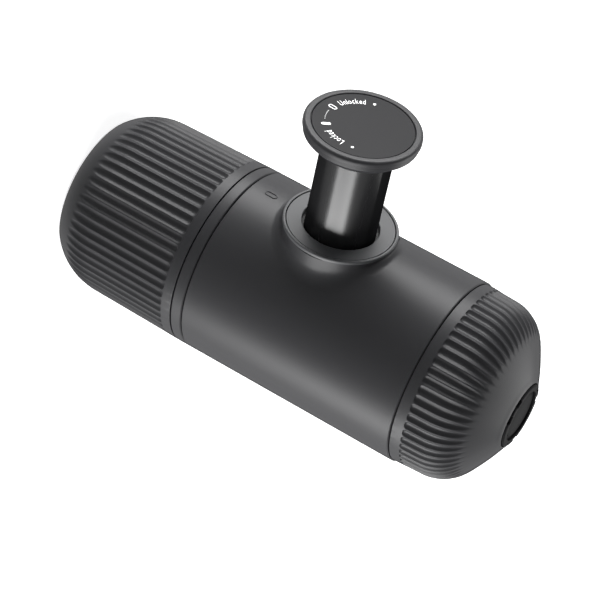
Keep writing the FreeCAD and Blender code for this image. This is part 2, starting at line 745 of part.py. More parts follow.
def make_pump_block():
    blank = new_body("chassis_blank")
    revolve(blank, [
        (0, chassis_bottom),
        (body_bore_radius, chassis_bottom),
        (body_bore_radius, chassis_top),
        (0, chassis_top),
    ])
    window = new_sketch(blank, "Window", "YZ_Plane")
    past_front = -body_radius
    draw(window, [
        (past_front, lower_deck),
        (-plate_back, lower_deck),
        (-plate_back, shelf_top),
        (wall_reach, shelf_top),
        (wall_reach, shelf_bottom),
        (-plate_back, shelf_bottom),
        (-plate_back, upper_deck),
        (past_front, upper_deck),
    ])
    pocket(blank, window, body_radius * 2, both_ways=True)

    inward = (1, 0, 0, -90)
    intake_flange = cylinder(
        "intake_flange_bore", valve_bore_radius, intake_step - chassis_bottom,
        (0, valve_reach, chassis_bottom),
    )
    intake_stem = cylinder(
        "intake_stem_bore", stem_room, intake_roof - chassis_bottom, (0, valve_reach, chassis_bottom)
    )
    delivery_flange = cylinder(
        "delivery_flange_bore", valve_bore_radius, chassis_top - delivery_step,
        (0, valve_reach, delivery_step),
    )
    delivery_stem = cylinder(
        "delivery_stem_bore", stem_room, chassis_top - delivery_floor,
        (0, valve_reach, delivery_floor),
    )
    tools = [intake_flange, intake_stem, delivery_flange, delivery_stem]
    run = passage_reach - valve_reach
    for label, height in (("intake_run", intake_passage), ("delivery_run", delivery_passage)):
        tools.append(cylinder(label, passage_radius, run, (0, valve_reach, height), inward))
    tools.append(cylinder(
        "riser", riser_radius, delivery_passage - intake_passage + riser_end * 2,
        (0, passage_reach, intake_passage - riser_end),
    ))
    tools.append(cylinder(
        "spigot_hole", spigot_radius, body_radius - wall_reach, (0, wall_reach, pump_height), inward
    ))
    tools.append(cylinder(
        "air_hole", valve_stem_radius, bulkhead_thickness,
        (-air_valve_side, -air_valve_reach, chassis_bottom),
    ))
    tools.append(cylinder(
        "screen_screw_hole", screen_screw_shank_radius, screen_screw_length,
        (0, 0, chassis_top - screen_screw_length),
    ))
    for index, (side, height) in enumerate(lock_screw_places()):
        tools.append(cylinder(
            "lock_screw_hole_%d" % index, lock_screw_shank_radius, lock_screw_length,
            (side, -plate_back, height), inward,
        ))
    body = cut("pump_block", blank, fuse("chassis_holes", tools))
    return body


def lock_screw_places():
    """Side and height of the four screws that hold the lock plate."""
    sides = (-lock_screw_side, lock_screw_side)
    return [(side, height) for height in (lower_screw_height, upper_screw_height) for side in sides]


def make_lock_plate():
    """A plate with a round hole and two notches that let the tube's lugs through."""
    body = pump_body("lock_plate")
    low = lower_deck + plate_margin - pump_height
    high = upper_deck - plate_margin - pump_height
    outline = new_sketch(body, "Outline", "XY_Plane", plate_back)
    draw(outline, [
        (-plate_half_width, low),
        (plate_half_width, low),
        (plate_half_width, high),
        (-plate_half_width, high),
    ])
    pad(body, outline, plate_thickness)
    hole_radius = tube_radius + part_gap
    notch_radius = lug_radius + notch_gap
    half_angle = lug_half_angle + notch_extra_angle
    hole = new_sketch(body, "Keyhole", "XY_Plane", plate_back)
    inner = polar_point(hole_radius, half_angle)
    outer = polar_point(notch_radius, half_angle)
    draw(hole, [
        (outer[0], -outer[1], notch_radius),
        (outer[0], outer[1]),
        (inner[0], inner[1], hole_radius),
        (-inner[0], inner[1]),
        (-outer[0], outer[1], notch_radius),
        (-outer[0], -outer[1]),
        (-inner[0], -inner[1], hole_radius),
        (inner[0], -inner[1]),
    ])
    pocket(body, hole, plate_thickness, reverse=True)
    screws = new_sketch(body, "ScrewHoles", "XY_Plane", plate_back)
    for side, height in lock_screw_places():
        draw_circle(screws, lock_screw_shank_radius, side, height - pump_height)
    pocket(body, screws, plate_thickness, reverse=True)
    return body


def make_lock_screws():
    """Four hexagon-headed screws, which share one node."""
    solids = []
    for index, (side, height) in enumerate(lock_screw_places()):
        shank = cylinder(
            "lock_screw_shank_%d" % index, lock_screw_shank_radius,
            lock_screw_length + plate_thickness, (side, -plate_front, height), (1, 0, 0, -90),
        )
        head = doc.addObject("Part::Prism", "lock_screw_head_%d" % index)
        head.Polygon = 6
        head.setExpression("Circumradius", lock_screw_radius.formula)
        head.setExpression("Height", lock_screw_height.formula)
        rotation = FreeCAD.Rotation(Vector(1, 0, 0), 90)
        head.Placement = FreeCAD.Placement(Vector(side.value, -plate_front.value, height.value), rotation)
        head.setExpression("Placement.Base.x", side.formula)
        head.setExpression("Placement.Base.y", (-plate_front).formula)
        head.setExpression("Placement.Base.z", height.formula)
        solids.append(fuse("lock_screw_%d" % index, [head, shank]))
    return fuse("lock_screws", solids)


def make_duckbill(label, base, tilt=(1, 0, 0, 0), stem_length=None):
    """A rubber duckbill: flange, stem and a bill that closes to two flat lips."""
    length = valve_stem_length if stem_length is None else stem_length
    body = new_body(label, base, tilt)
    top = valve_flange_thickness + length
    hole_top = top - bill_height
    revolve(body, [
        (valve_hole_radius, 0),
        (valve_bore_radius - slip_gap, 0),
        (valve_bore_radius - slip_gap, valve_flange_thickness),
        (valve_stem_radius, valve_flange_thickness),
        (valve_stem_radius, top),
        (0, top),
        (0, hole_top),
        (valve_hole_radius, hole_top),
    ])
    lips = new_sketch(body, "Lips")
    wide = valve_stem_radius + bill_half_width
    beyond = top + bill_half_width
    for side in (1, -1):
        draw(lips, [
            (wide * side, hole_top),
            (wide * side, beyond),
            (bill_half_width * side, beyond),
            (bill_half_width * side, top - bill_height / 3),
            (valve_stem_radius * side, hole_top),
        ])
    pocket(body, lips, valve_stem_radius * 4, both_ways=True)
    return body


def make_valves():
    intake = make_duckbill("intake_valve", (0, valve_reach, intake_step - valve_flange_thickness))
    delivery = make_duckbill("delivery_valve", (0, valve_reach, delivery_step))
    air = make_duckbill(
        "air_valve", (-air_valve_side, -air_valve_reach, lower_deck + valve_flange_thickness),
        (1, 0, 0, 180), valve_stem_length + bulkhead_thickness,
    )
    return [intake, delivery, air]


def make_retainer(label, low, hole):
    body = new_body(label, (0, valve_reach, low))
    revolve(body, [
        (hole, 0),
        (valve_bore_radius, 0),
        (valve_bore_radius, retainer_thickness),
        (hole, retainer_thickness),
    ])
    return body


def make_intake_filter():
    """A rimmed screen over the intake, with a crossed slot through its thin middle."""
    body = new_body("intake_filter", (0, valve_reach, chassis_bottom - filter_thickness))
    sheet_top = filter_thickness / 3
    revolve(body, [
        (0, 0),
        (filter_radius, 0),
        (filter_radius, filter_thickness),
        (filter_radius - filter_rim_width, filter_thickness),
        (filter_radius - filter_rim_width, sheet_top),
        (0, sheet_top),
    ])
    slot = new_sketch(body, "Slot", "XY_Plane")
    half = slot_width / 2
    slot_end = filter_radius - filter_rim_width * 1.5
    draw(slot, [
        (filter_rim_width, -half),
        (slot_end, -half),
        (slot_end, half),
        (filter_rim_width, half),
    ])
    pattern(body, pocket(body, slot, filter_thickness, reverse=True), 8)
    return body


# --- pump cylinder and piston ------------------------------------------------------------------
def make_pump_cylinder():
    body = pump_body("pump_cylinder")
    spigot_end = -wall_reach - spigot_length
    port_end = -passage_reach
    revolve(body, [
        (0, spigot_end),
        (spigot_radius, spigot_end),
        (spigot_radius, flange_back),
        (flange_radius, flange_back),
        (flange_radius, flange_front),
        (cylinder_radius, flange_front),
        (cylinder_radius, cylinder_front),
        (cylinder_bore_radius, cylinder_front),
        (cylinder_bore_radius, bore_end),
        (port_radius, bore_end),
        (port_radius, port_end),
        (0, port_end),
    ])
    cross = new_sketch(body, "CrossPort")
    draw_circle(cross, passage_radius, 0, -passage_reach)
    # The cross port runs up and down, along the body's own Y.
    pocket(body, cross, spigot_radius * 3, both_ways=True)
    return body


def make_cylinder_gasket():
    return ring(
        "cylinder_gasket", spigot_radius, flange_radius, -wall_reach, flange_back, pump_body
    )


def make_plunger_head():
    body = pump_body("plunger_head")
    outside = cylinder_bore_radius - slip_gap
    groove = cylinder_bore_radius - seal_depth
    groove_low = plunger_bottom + (plunger_length - rod_seat - seal_width) / 2
    revolve(body, [
        (0, plunger_bottom),
        (outside, plunger_bottom),
        (outside, groove_low),
        (groove, groove_low),
        (groove, groove_low + seal_width),
        (outside, groove_low + seal_width),
        (outside, plunger_top),
        (rod_radius, plunger_top),
        (rod_radius, plunger_top - rod_seat),
        (0, plunger_top - rod_seat),
    ])
    return body


def make_plunger_seal():
    groove_low = plunger_bottom + (plunger_length - rod_seat - seal_width) / 2
    return ring(
        "plunger_seal", cylinder_bore_radius - seal_depth, cylinder_bore_radius - slip_gap / 2,
        groove_low, groove_low + seal_width, pump_body,
    )


def make_plunger_rod():
    body = pump_body("plunger_rod")
    seat_radius = tube_bore_radius - part_gap
    tap_end = rod_top - cap_screw_shank_length
    revolve(body, [
        (0, plunger_top - rod_seat),
        (rod_radius, plunger_top - rod_seat),
        (rod_radius, spring_seat_bottom),
        (seat_radius, spring_seat_bottom),
        (seat_radius, spring_seat_top),
        (rod_radius, spring_seat_top),
        (rod_radius, rod_top),
        (cap_screw_shank_radius, rod_top),
        (cap_screw_shank_radius, tap_end),
        (0, tap_end),
    ])
    return body


def make_return_spring():
    """A helical spring between the cylinder's front and the rod's flange. Each turn is drawn with
    straight lengths of six-sided wire."""
    steps_per_turn = 10
    wire_sides = 6
    middle = tube_bore_radius.value - part_gap.value - wire_radius.value
    low = cylinder_front.value + wire_radius.value
    high = spring_seat_bottom.value - wire_radius.value
    steps = int(round(spring_turns.value * steps_per_turn))
    sections = []
    for step in range(steps + 1):
        angle = 2 * math.pi * step / steps_per_turn
        out = low + (high - low) * step / steps
        across = Vector(math.cos(angle), 0, math.sin(angle))
        centre = Vector(middle * across.x, -out, pump_height.value + middle * across.z)
        corners = []
        for side in range(wire_sides + 1):
            turn = 2 * math.pi * side / wire_sides
            corners.append(
                centre
                + across * (wire_radius.value * math.cos(turn))
                + Vector(0, wire_radius.value * math.sin(turn), 0)
            )
        sections.append(Part.makePolygon(corners))
    spring = doc.addObject("Part::Feature", "return_spring")
    spring.Shape = Part.makeLoft(sections, True, True)
    return spring


def make_piston_tube():
    body = pump_body("piston_tube")
    revolve(body, [
        (tube_bore_radius, tube_end),
        (tube_radius, tube_end),
        (tube_radius, pad_ceiling),
        (tube_bore_radius, pad_ceiling),
    ])
    lugs = new_sketch(body, "Lugs", "XY_Plane", lug_bottom)
    inside = (tube_radius + tube_bore_radius) / 2
    for side in (1, -1):
        near = [part * side for part in polar_point(inside, lug_half_angle)]
        far = [part * side for part in polar_point(lug_radius, lug_half_angle)]
        draw(lugs, [
            (near[0], -near[1]),
            (far[0], -far[1], lug_radius),
            (far[0], far[1]),
            (near[0], near[1], -inside),
        ])
    pad(body, lugs, lug_thickness)
    return body


def make_piston_cap():
    body = pump_body("piston_cap")
    disc_hole = pad_radius - pad_rim_width
    revolve(body, [
        (rod_radius + slip_gap, pad_ceiling),
        (tube_radius, pad_ceiling),
        (tube_radius, pad_bottom),
        (pad_radius - pad_under_bevel, pad_bottom),
        (pad_radius, pad_bottom + pad_under_bevel),
        (pad_radius, pad_reach - pad_rim_bevel, pad_rim_bevel),
        (pad_radius - pad_rim_bevel, pad_reach),
        (disc_hole, pad_reach),
        (disc_hole, disc_bottom),
        (cap_screw_radius + part_gap, disc_bottom),
        (cap_screw_radius + part_gap, screw_floor),
        (rod_radius + slip_gap, screw_floor),
    ])
    return body


def make_cap_disc():
    body = pump_body("cap_disc")
    top = disc_bottom + disc_thickness
    outside = pad_radius - pad_rim_width - disc_gap
    revolve(body, [(0, disc_bottom), (outside, disc_bottom), (outside, top), (0, top)])
    return body


def make_cap_screw():
    body = pump_body("cap_screw")
    head_top = rod_top + cap_screw_height
    revolve(body, [
        (0, rod_top - cap_screw_shank_length),
        (cap_screw_shank_radius, rod_top - cap_screw_shank_length),
        (cap_screw_shank_radius, rod_top),
        (cap_screw_radius, rod_top),
        (cap_screw_radius, head_top - edge_bevel),
        (cap_screw_radius - edge_bevel, head_top),
        (0, head_top),
    ])
    return body


# --- brewing side ------------------------------------------------------------------------------
holder_bore_radius = thread_radius - holder_wall
basket_outer_radius = holder_bore_radius - basket_room
basket_bore_radius = basket_outer_radius - basket_sheet
screen_radius = basket_bore_radius - screen_room
basket_rim = chassis_top + brew_gasket_thickness + part_gap
basket_flange_bottom = basket_rim + basket_sheet
basket_end = head_seam - basket_lift
holder_rim = basket_flange_bottom + part_gap
funnel_top = basket_end + funnel_land
funnel_end = funnel_top + funnel_drop
holder_end = head_seam + holder_skirt


def cut_radial_slots(body, inner, outer, level, thickness, count):
    """Narrow slots that point at the axis, through a round sheet."""
    sketch = new_sketch(body, "Slot", "XY_Plane", level)
    half = slot_width / 2
    draw(sketch, [(inner, -half), (outer, -half), (outer, half), (inner, half)])
    pattern(body, pocket(body, sketch, thickness, reverse=True), count)


def make_shower_screen():
    body = new_body("shower_screen")
    plate_low = chassis_top + screen_stand
    plate_high = plate_low + screen_thickness
    rim_inner = screen_radius - screen_rim_width
    revolve(body, [
        (screen_screw_shank_radius, chassis_top),
        (screen_screw_radius, chassis_top),
        (screen_screw_radius, plate_low),
        (rim_inner, plate_low),
        (rim_inner, chassis_top),
        (screen_radius, chassis_top),
        (screen_radius, plate_high),
        (screen_screw_shank_radius, plate_high),
    ])
    cut_radial_slots(
        body, screen_screw_radius + slot_inset, rim_inner - slot_inset,
        plate_low, screen_thickness, screen_slots,
    )
    return body


def make_screen_screw():
    body = new_body("screen_screw")
    seat = chassis_top + screen_stand + screen_thickness
    low = chassis_top - screen_screw_length
    revolve(body, [
        (0, low),
        (screen_screw_shank_radius, low),
        (screen_screw_shank_radius, seat),
        (screen_screw_radius, seat),
        (screen_screw_radius, seat + screen_screw_height / 2),
        (screen_screw_radius - screen_screw_height / 2, seat + screen_screw_height),
        (0, seat + screen_screw_height),
    ])
    return body


def make_brew_gasket():
    return ring(
        "brew_gasket", basket_bore_radius, basket_bore_radius + brew_gasket_width,
        chassis_top, chassis_top + brew_gasket_thickness,
    )


def make_filter_basket():
    body = new_body("filter_basket")
    flange_radius_here = basket_bore_radius + basket_flange_width
    floor = basket_end - basket_sheet
    revolve(body, [
        (0, floor),
        (basket_bore_radius, floor),
        (basket_bore_radius, basket_rim),
        (flange_radius_here, basket_rim),
        (flange_radius_here, basket_flange_bottom),
        (basket_outer_radius, basket_flange_bottom),
        (basket_outer_radius, basket_end),
        (0, basket_end),
    ])
    cut_radial_slots(
        body, basket_slot_start, basket_bore_radius - slot_inset, floor, basket_sheet, basket_slots
    )
    return body


def make_portafilter():
    body = new_body("portafilter")
    shell = spout_wall
    revolve(body, [
        (holder_bore_radius, holder_rim),
        (thread_radius, holder_rim),
        (thread_radius, holder_end),
        (thread_radius - shell, holder_end),
        (holder_spigot_radius, funnel_end + shell),
        (holder_spigot_radius, funnel_end + shell + holder_spigot_length),
        (spout_bore_radius, funnel_end + shell + holder_spigot_length),
        (spout_bore_radius, funnel_end),
        (holder_bore_radius, funnel_top),
    ])
    return body


# --- outlet head -------------------------------------------------------------------------------
shoulder_foot_radius = head_radius - head_straight * tan(head_taper)
shoulder_foot_height = head_seam + head_straight
head_centre_radius = shoulder_foot_radius - head_shoulder_radius * cos(head_taper)
head_centre_height = shoulder_foot_height - head_shoulder_radius * sin(head_taper)
inner_round = head_shoulder_radius - head_wall
inner_end_radius = head_centre_radius + inner_round * cos(head_shoulder_angle)
inner_end_height = head_centre_height + inner_round * sin(head_shoulder_angle)
dome_underside = opening_rim - head_wall / sin(head_shoulder_angle)
dome_fall = (dome_underside - inner_end_height) / (inner_end_radius - opening_radius)
# The dome's underside bulges up from its chord, and the spout's flange stays under the chord.
spout_top = dome_underside - dome_fall * spout_overlap - spout_gap
cover_bottom = spout_top + part_gap


def head_outside(height):
    return head_radius - (height - head_seam) * tan(head_taper)


def make_outlet_head():
    body = new_body("outlet_head", tilt=(0, 0, 1, 1.3))
    outer_end = polar_point(head_shoulder_radius, head_shoulder_angle)
    inner_start = polar_point(inner_round, head_taper)
    inner_dome = head_dome_radius - head_wall
    revolve(body, [
        (thread_radius, head_bottom),
        (head_outside(head_bottom) - edge_bevel, head_bottom),
        (head_outside(head_bottom), head_bottom + edge_bevel),
        (shoulder_foot_radius, shoulder_foot_height, head_shoulder_radius),
        (head_centre_radius + outer_end[0], head_centre_height + outer_end[1], head_dome_radius),
        (opening_radius, opening_rim),
        (opening_radius, dome_underside, -inner_dome),
        (inner_end_radius, inner_end_height, -inner_round),
        (head_centre_radius + inner_start[0], head_centre_height + inner_start[1]),
        (thread_radius, head_bottom + head_socket),
    ])
    cut_flutes(
        body, head_outside, head_bottom + flute_land, shoulder_foot_height,
        head_taper, head_shoulder_radius, head_flute_turn, 1,
    )
    return body


def make_spout():
    """Pushes over the portafilter's spigot and closes the dome's opening behind the cover."""
    body = new_body("spout")
    socket_bottom = funnel_end + spout_wall + part_gap
    socket_top = funnel_end + spout_wall + holder_spigot_length
    socket_radius = holder_spigot_radius + spout_wall
    stem_radius = spout_bore_radius + spout_wall
    spout_flange_radius = opening_radius + spout_overlap
    revolve(body, [
        (holder_spigot_radius, socket_bottom),
        (socket_radius, socket_bottom),
        (socket_radius, socket_top + spout_wall),
        (stem_radius, socket_top + spout_wall * 2),
        (stem_radius, spout_top - spout_flange_thickness),
        (spout_flange_radius, spout_top - spout_flange_thickness),
        (spout_flange_radius, spout_top),
        (spout_bore_radius, spout_top),
        (spout_bore_radius, socket_top),
        (holder_spigot_radius, socket_top),
    ])
    return body


def make_outlet_cover():
    """A disc in the opening with a plug for the spout. Its face has a raised rim with pairs of
    finger notches, a groove and a low middle."""
    body = new_body("outlet_cover", tilt=(0, 0, 1, -42.8))
    radius = opening_radius - cover_gap
    plug = spout_bore_radius - slip_gap
    face = opening_rim + cover_dome
    rim_inner = radius - cover_rim_width
    groove_inner = rim_inner - cover_groove_width
    revolve(body, [
        (0, cover_bottom - cover_plug_length),
        (plug, cover_bottom - cover_plug_length),
        (plug, cover_bottom),
        (radius, cover_bottom),
        (radius, opening_rim, cover_dome),
        (radius - cover_dome, face),
        (rim_inner, face),
        (rim_inner, face - cover_groove_depth),
        (groove_inner, face - cover_groove_depth),
        (groove_inner, opening_rim),
        (0, opening_rim),
    ])
    notch_floor = (cover_bottom + opening_rim) / 2
    notches = new_sketch(body, "Notches", "XY_Plane", notch_floor)
    half_angle = cover_notch_width / radius / 2 * (180 / math.pi)
    for side in (1, -1):
        inner = radius - cover_notch_depth
        outer = radius + cover_notch_depth
        first = cover_notch_angle * side - half_angle
        last = cover_notch_angle * side + half_angle
        draw(notches, [
            polar_point(inner, first),
            polar_point(outer, first),
            polar_point(outer, last),
            polar_point(inner, last),
        ])
    pattern(body, pocket(body, notches, face - notch_floor, reverse=True), cover_notch_pairs)
    return body


# --- the whole part ----------------------------------------------------------------------------
pieces = [
    make_cup(),
    make_water_tank(),
    make_tank_gasket(),
    make_main_body(),
    make_collar_ring(),
    make_wiper_seal(),
    make_guide_bush(),
    make_pump_block(),
    make_lock_plate(),
    make_lock_screws(),
    *make_valves(),
    make_retainer("intake_retainer", chassis_bottom, valve_hole_radius + retainer_lip),
    make_retainer("delivery_retainer", delivery_step + valve_flange_thickness, stem_room),
    make_intake_filter(),
    make_pump_cylinder(),
    make_cylinder_gasket(),
    make_plunger_head(),
    make_plunger_seal(),
    make_plunger_rod(),
    make_return_spring(),
    make_piston_tube(),
    make_piston_cap(),
    make_cap_disc(),
    make_cap_screw(),
    make_shower_screen(),
    make_screen_screw(),
    make_brew_gasket(),
    make_filter_basket(),
    make_portafilter(),
    make_outlet_head(),
    make_spout(),
    make_outlet_cover(),
]
doc.recompute()

faults = []
for item in doc.Objects:
    if "Invalid" in item.State or "Error" in item.State:
        faults.append("%s is %s" % (item.Name, item.State))
for piece in pieces:
    shape = piece.Shape
    if shape.isNull() or not shape.isValid() or not shape.Solids:
        faults.append("%s has no valid solid" % piece.Label)
if faults:
    raise SystemExit("\n".join(faults))

os.makedirs("parts", exist_ok=True)
for piece in pieces:
    piece.Shape.exportStep(os.path.join("parts", piece.Label + ".step"))
print("wrote %d parts, stroke %.2f mm" % (len(pieces), stroke.value))
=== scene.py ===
"""A handheld manual espresso maker on a pale studio floor. Metres, in the frame of the CAD model:
+Z runs up the barrel from the drinking cup to the outlet, and the piston points to -Y."""
import json
import math

import bmesh
import bpy
from mathutils import Matrix, Vector


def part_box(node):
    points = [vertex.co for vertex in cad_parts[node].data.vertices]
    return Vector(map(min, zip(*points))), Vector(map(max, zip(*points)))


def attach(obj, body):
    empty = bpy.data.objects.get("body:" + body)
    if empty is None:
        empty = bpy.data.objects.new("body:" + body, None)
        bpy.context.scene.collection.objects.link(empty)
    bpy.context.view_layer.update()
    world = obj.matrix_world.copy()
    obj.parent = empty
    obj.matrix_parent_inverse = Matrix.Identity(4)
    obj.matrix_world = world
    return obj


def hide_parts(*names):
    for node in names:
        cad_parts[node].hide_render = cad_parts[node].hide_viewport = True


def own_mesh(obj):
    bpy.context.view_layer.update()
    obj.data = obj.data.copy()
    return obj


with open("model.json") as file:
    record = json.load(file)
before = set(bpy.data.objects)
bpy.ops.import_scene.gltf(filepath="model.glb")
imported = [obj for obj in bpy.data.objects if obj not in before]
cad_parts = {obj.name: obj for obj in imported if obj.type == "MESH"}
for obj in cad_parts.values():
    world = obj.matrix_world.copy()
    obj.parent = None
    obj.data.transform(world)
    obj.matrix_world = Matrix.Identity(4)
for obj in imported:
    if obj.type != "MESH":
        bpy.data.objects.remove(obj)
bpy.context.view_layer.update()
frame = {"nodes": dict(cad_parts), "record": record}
nodes = frame["nodes"]

MM = 0.001
ROUND = 0.25 * MM              # the small round on moulded edges
SEAM_ROUND = 0.10 * MM         # the tighter one where two shells meet at a seam
LIFT = 0.03 * MM               # printed marks stand this far off their surface

cup_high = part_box("cup")[1]
head_low, head_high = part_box("outlet_head")
tube_low, tube_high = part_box("piston_tube")
cap_low, cap_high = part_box("piston_cap")
disc_low, disc_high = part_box("cap_disc")
ring_low, ring_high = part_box("collar_ring")
cover_low, cover_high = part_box("outlet_cover")
tank_low, tank_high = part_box("water_tank")
spring_low, spring_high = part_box("return_spring")

BODY_RADIUS = (tank_high.x - tank_low.x) / 2   # the tank's band is as wide as the barrel
PUMP_HEIGHT = (cap_low.z + cap_high.z) / 2     # of the piston's axis


# --- outlines and meshes ------------------------------------------------------------------------
CORNER_STEPS = 4
CORNER_SHARE = 0.49            # share of a side that the round of one corner may take up
MERGE_DISTANCE = 1e-7
SMOOTH_ANGLE = math.radians(40)
BARREL_SEGMENTS = 180
PISTON_SEGMENTS = 224


def arc(centre_r, centre_z, radius, start, stop, steps):
    """Points on an arc, by angles in degrees from the radial direction towards +Z."""
    points = []
    for step in range(steps + 1):
        angle = math.radians(start + (stop - start) * step / steps)
        points.append((centre_r + radius * math.cos(angle), centre_z + radius * math.sin(angle)))
    return points


def eased(corners, closed=True):
    """An outline of (r, z, round) corners, each rounded off unless its round is 0 or left out, or
    it is the end of an open outline."""
    points = []
    count = len(corners)
    for index, corner in enumerate(corners):
        here = Vector(corner[:2])
        radius = corner[2] if len(corner) > 2 else 0.0
        if radius == 0 or (not closed and index in (0, count - 1)):
            points.append(tuple(here))
            continue
        back = Vector(corners[index - 1][:2]) - here
        ahead = Vector(corners[(index + 1) % count][:2]) - here
        half = back.angle(ahead) / 2
        reach = min(
            radius / math.tan(half), back.length * CORNER_SHARE, ahead.length * CORNER_SHARE
        )
        first, last = here + back.normalized() * reach, here + ahead.normalized() * reach
        centre = here + (back.normalized() + ahead.normalized()).normalized() * (
            reach / math.cos(half)
        )
        for step in range(CORNER_STEPS + 1):
            spoke = (first - centre).lerp(last - centre, step / CORNER_STEPS)
            spoke.normalize()
            points.append(tuple(centre + spoke * (first - centre).length))
    return points


def weigh_normals(piece):
    """Lets the large faces set the shading, and keeps the sharp edges."""
    weighted = piece.modifiers.new("Normals", "WEIGHTED_NORMAL")
    weighted.keep_sharp = True


def finish_mesh(name, verts, faces, body, slot, material, stands_for=()):
    """Makes a piece of mesh, smooth where its faces meet at a low angle."""
    mesh = bpy.data.meshes.new(name)
    mesh.from_pydata([tuple(vert) for vert in verts], [], faces)
    work = bmesh.new()
    work.from_mesh(mesh)
    bmesh.ops.remove_doubles(work, verts=work.verts, dist=MERGE_DISTANCE)
    bmesh.ops.recalc_face_normals(work, faces=work.faces)
    for edge in work.edges:
        edge.smooth = len(edge.link_faces) != 2 or edge.calc_face_angle(0) < SMOOTH_ANGLE
    for face in work.faces:
        face.smooth = True
    work.to_mesh(mesh)
    work.free()
    mesh.materials.append(material)
    piece = bpy.data.objects.new(name, mesh)
    bpy.context.scene.collection.objects.link(piece)
    weigh_normals(piece)
    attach(piece, body)
    if stands_for:
        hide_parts(*stands_for)
    return piece


def barrel_point(radius, height, angle):
    """A point round the barrel. The angle runs from -Y towards +X."""
    return Vector((radius * math.sin(angle), -radius * math.cos(angle), height))


def piston_point(radius, out, angle):
    """A point round the piston's axis. The angle runs from +Z towards +X."""
    return Vector((radius * math.sin(angle), -out, PUMP_HEIGHT + radius * math.cos(angle)))


def ring_faces(rings, count, closed=False):
    """Faces between rings of count points each, and from the last ring to the first if closed."""
    faces = []
    for ring in range(rings if closed else rings - 1):
        this_ring, next_ring = ring * count, (ring + 1) % rings * count
        for index in range(count):
            after = (index + 1) % count
            faces.append((
                this_ring + index, this_ring + after, next_ring + after, next_ring + index,
            ))
    return faces


def lathe_parts(outline, place, segments, closed=True):
    """Vertices and faces of an outline turned round an axis."""
    verts = []
    for radius, height in outline:
        for index in range(segments):
            verts.append(place(max(radius, 0.0), height, 2 * math.pi * index / segments))
    return verts, ring_faces(len(outline), segments, closed)


def joined(*parts):
    """Several sets of vertices and faces as one."""
    verts, faces = [], []
    for part_verts, part_faces in parts:
        start = len(verts)
        verts += part_verts
        faces += [tuple(start + index for index in face) for face in part_faces]
    return verts, faces


def block(corners_low, corners_high):
    """A block between two rings of four points."""
    verts = list(corners_low) + list(corners_high)
    faces = [(3, 2, 1, 0), (4, 5, 6, 7)]
    faces += [(i, (i + 1) % 4, (i + 1) % 4 + 4, i + 4) for i in range(4)]
    return verts, faces


def prism(outline, place, low, high):
    """A flat outline of (a, b) points between two levels: place(a, b, level)."""
    count = len(outline)
    verts = [place(a, b, low) for a, b in outline] + [place(a, b, high) for a, b in outline]
    faces = [tuple(range(count))[::-1], tuple(range(count, 2 * count))]
    faces += [(i, (i + 1) % count, (i + 1) % count + count, i + count) for i in range(count)]
    return verts, faces


# --- materials ----------------------------------------------------------------------------------
GRAIN_SIZE = 0.35 * MM
CAD_MERGE_DISTANCE = 1e-6
CAD_SMOOTH_ANGLE = math.radians(28)


def plastic(name, colour, roughness, specular=0.5, grain=0.0):
    """Moulded plastic. grain is the height of its fine texture, in metres."""
    material = bpy.data.materials.new(name)
    material.use_nodes = True
    tree = material.node_tree
    shader = tree.nodes["Principled BSDF"]
    shader.inputs["Base Color"].default_value = (*colour, 1)
    shader.inputs["Roughness"].default_value = roughness
    shader.inputs["Specular IOR Level"].default_value = specular
    if grain:
        add_grain(tree, shader, grain)
    return material


def add_grain(tree, shader, height):
    """The fine texture of a moulded surface, as bump in the material."""
    place = tree.nodes.new("ShaderNodeTexCoord")
    noise = tree.nodes.new("ShaderNodeTexNoise")
    noise.inputs["Scale"].default_value = 1 / GRAIN_SIZE
    noise.inputs["Detail"].default_value = 2.0
    bump = tree.nodes.new("ShaderNodeBump")
    bump.inputs["Strength"].default_value = 1.0
    bump.inputs["Distance"].default_value = height
    tree.links.new(place.outputs["Object"], noise.inputs["Vector"])
    tree.links.new(noise.outputs["Fac"], bump.inputs["Height"])
    tree.links.new(bump.outputs["Normal"], shader.inputs["Normal"])


def mapped(tree, value, from_low, from_high, to_low, to_high):
    """A value of the tree, mapped from one range to another and held at its ends."""
    level = tree.nodes.new("ShaderNodeMapRange")
    for name, setting in (
        ("From Min", from_low), ("From Max", from_high), ("To Min", to_low), ("To Max", to_high),
    ):
        level.inputs[name].default_value = setting
    tree.links.new(value, level.inputs["Value"])
    return level.outputs["Result"]


def dull_at_edge(material, first, last):
    """Lets a surface mirror less and less where it turns away from the eye: from the first turn to
    the last, where 0 faces the eye and 1 is edge on."""
    tree = material.node_tree
    specular = tree.nodes["Principled BSDF"].inputs["Specular IOR Level"]
    turn = tree.nodes.new("ShaderNodeLayerWeight")
    turn.inputs["Blend"].default_value = 0.5
    level = mapped(tree, turn.outputs["Facing"], first, last, specular.default_value, 0.0)
    tree.links.new(level, specular)


def metal(name, colour, roughness, anisotropic):
    """Bare metal, more brushed the higher anisotropic is."""
    material = plastic(name, colour, roughness)
    shader = material.node_tree.nodes["Principled BSDF"]
    shader.inputs["Metallic"].default_value = 1.0
    shader.inputs["Anisotropic"].default_value = anisotropic
    return material


def rubber(name, colour, roughness):
    """Rubber or silicone, with a faint sheen."""
    material = plastic(name, colour, roughness, specular=0.35)
    shader = material.node_tree.nodes["Principled BSDF"]
    shader.inputs["Sheen Weight"].default_value = 0.15
    return material


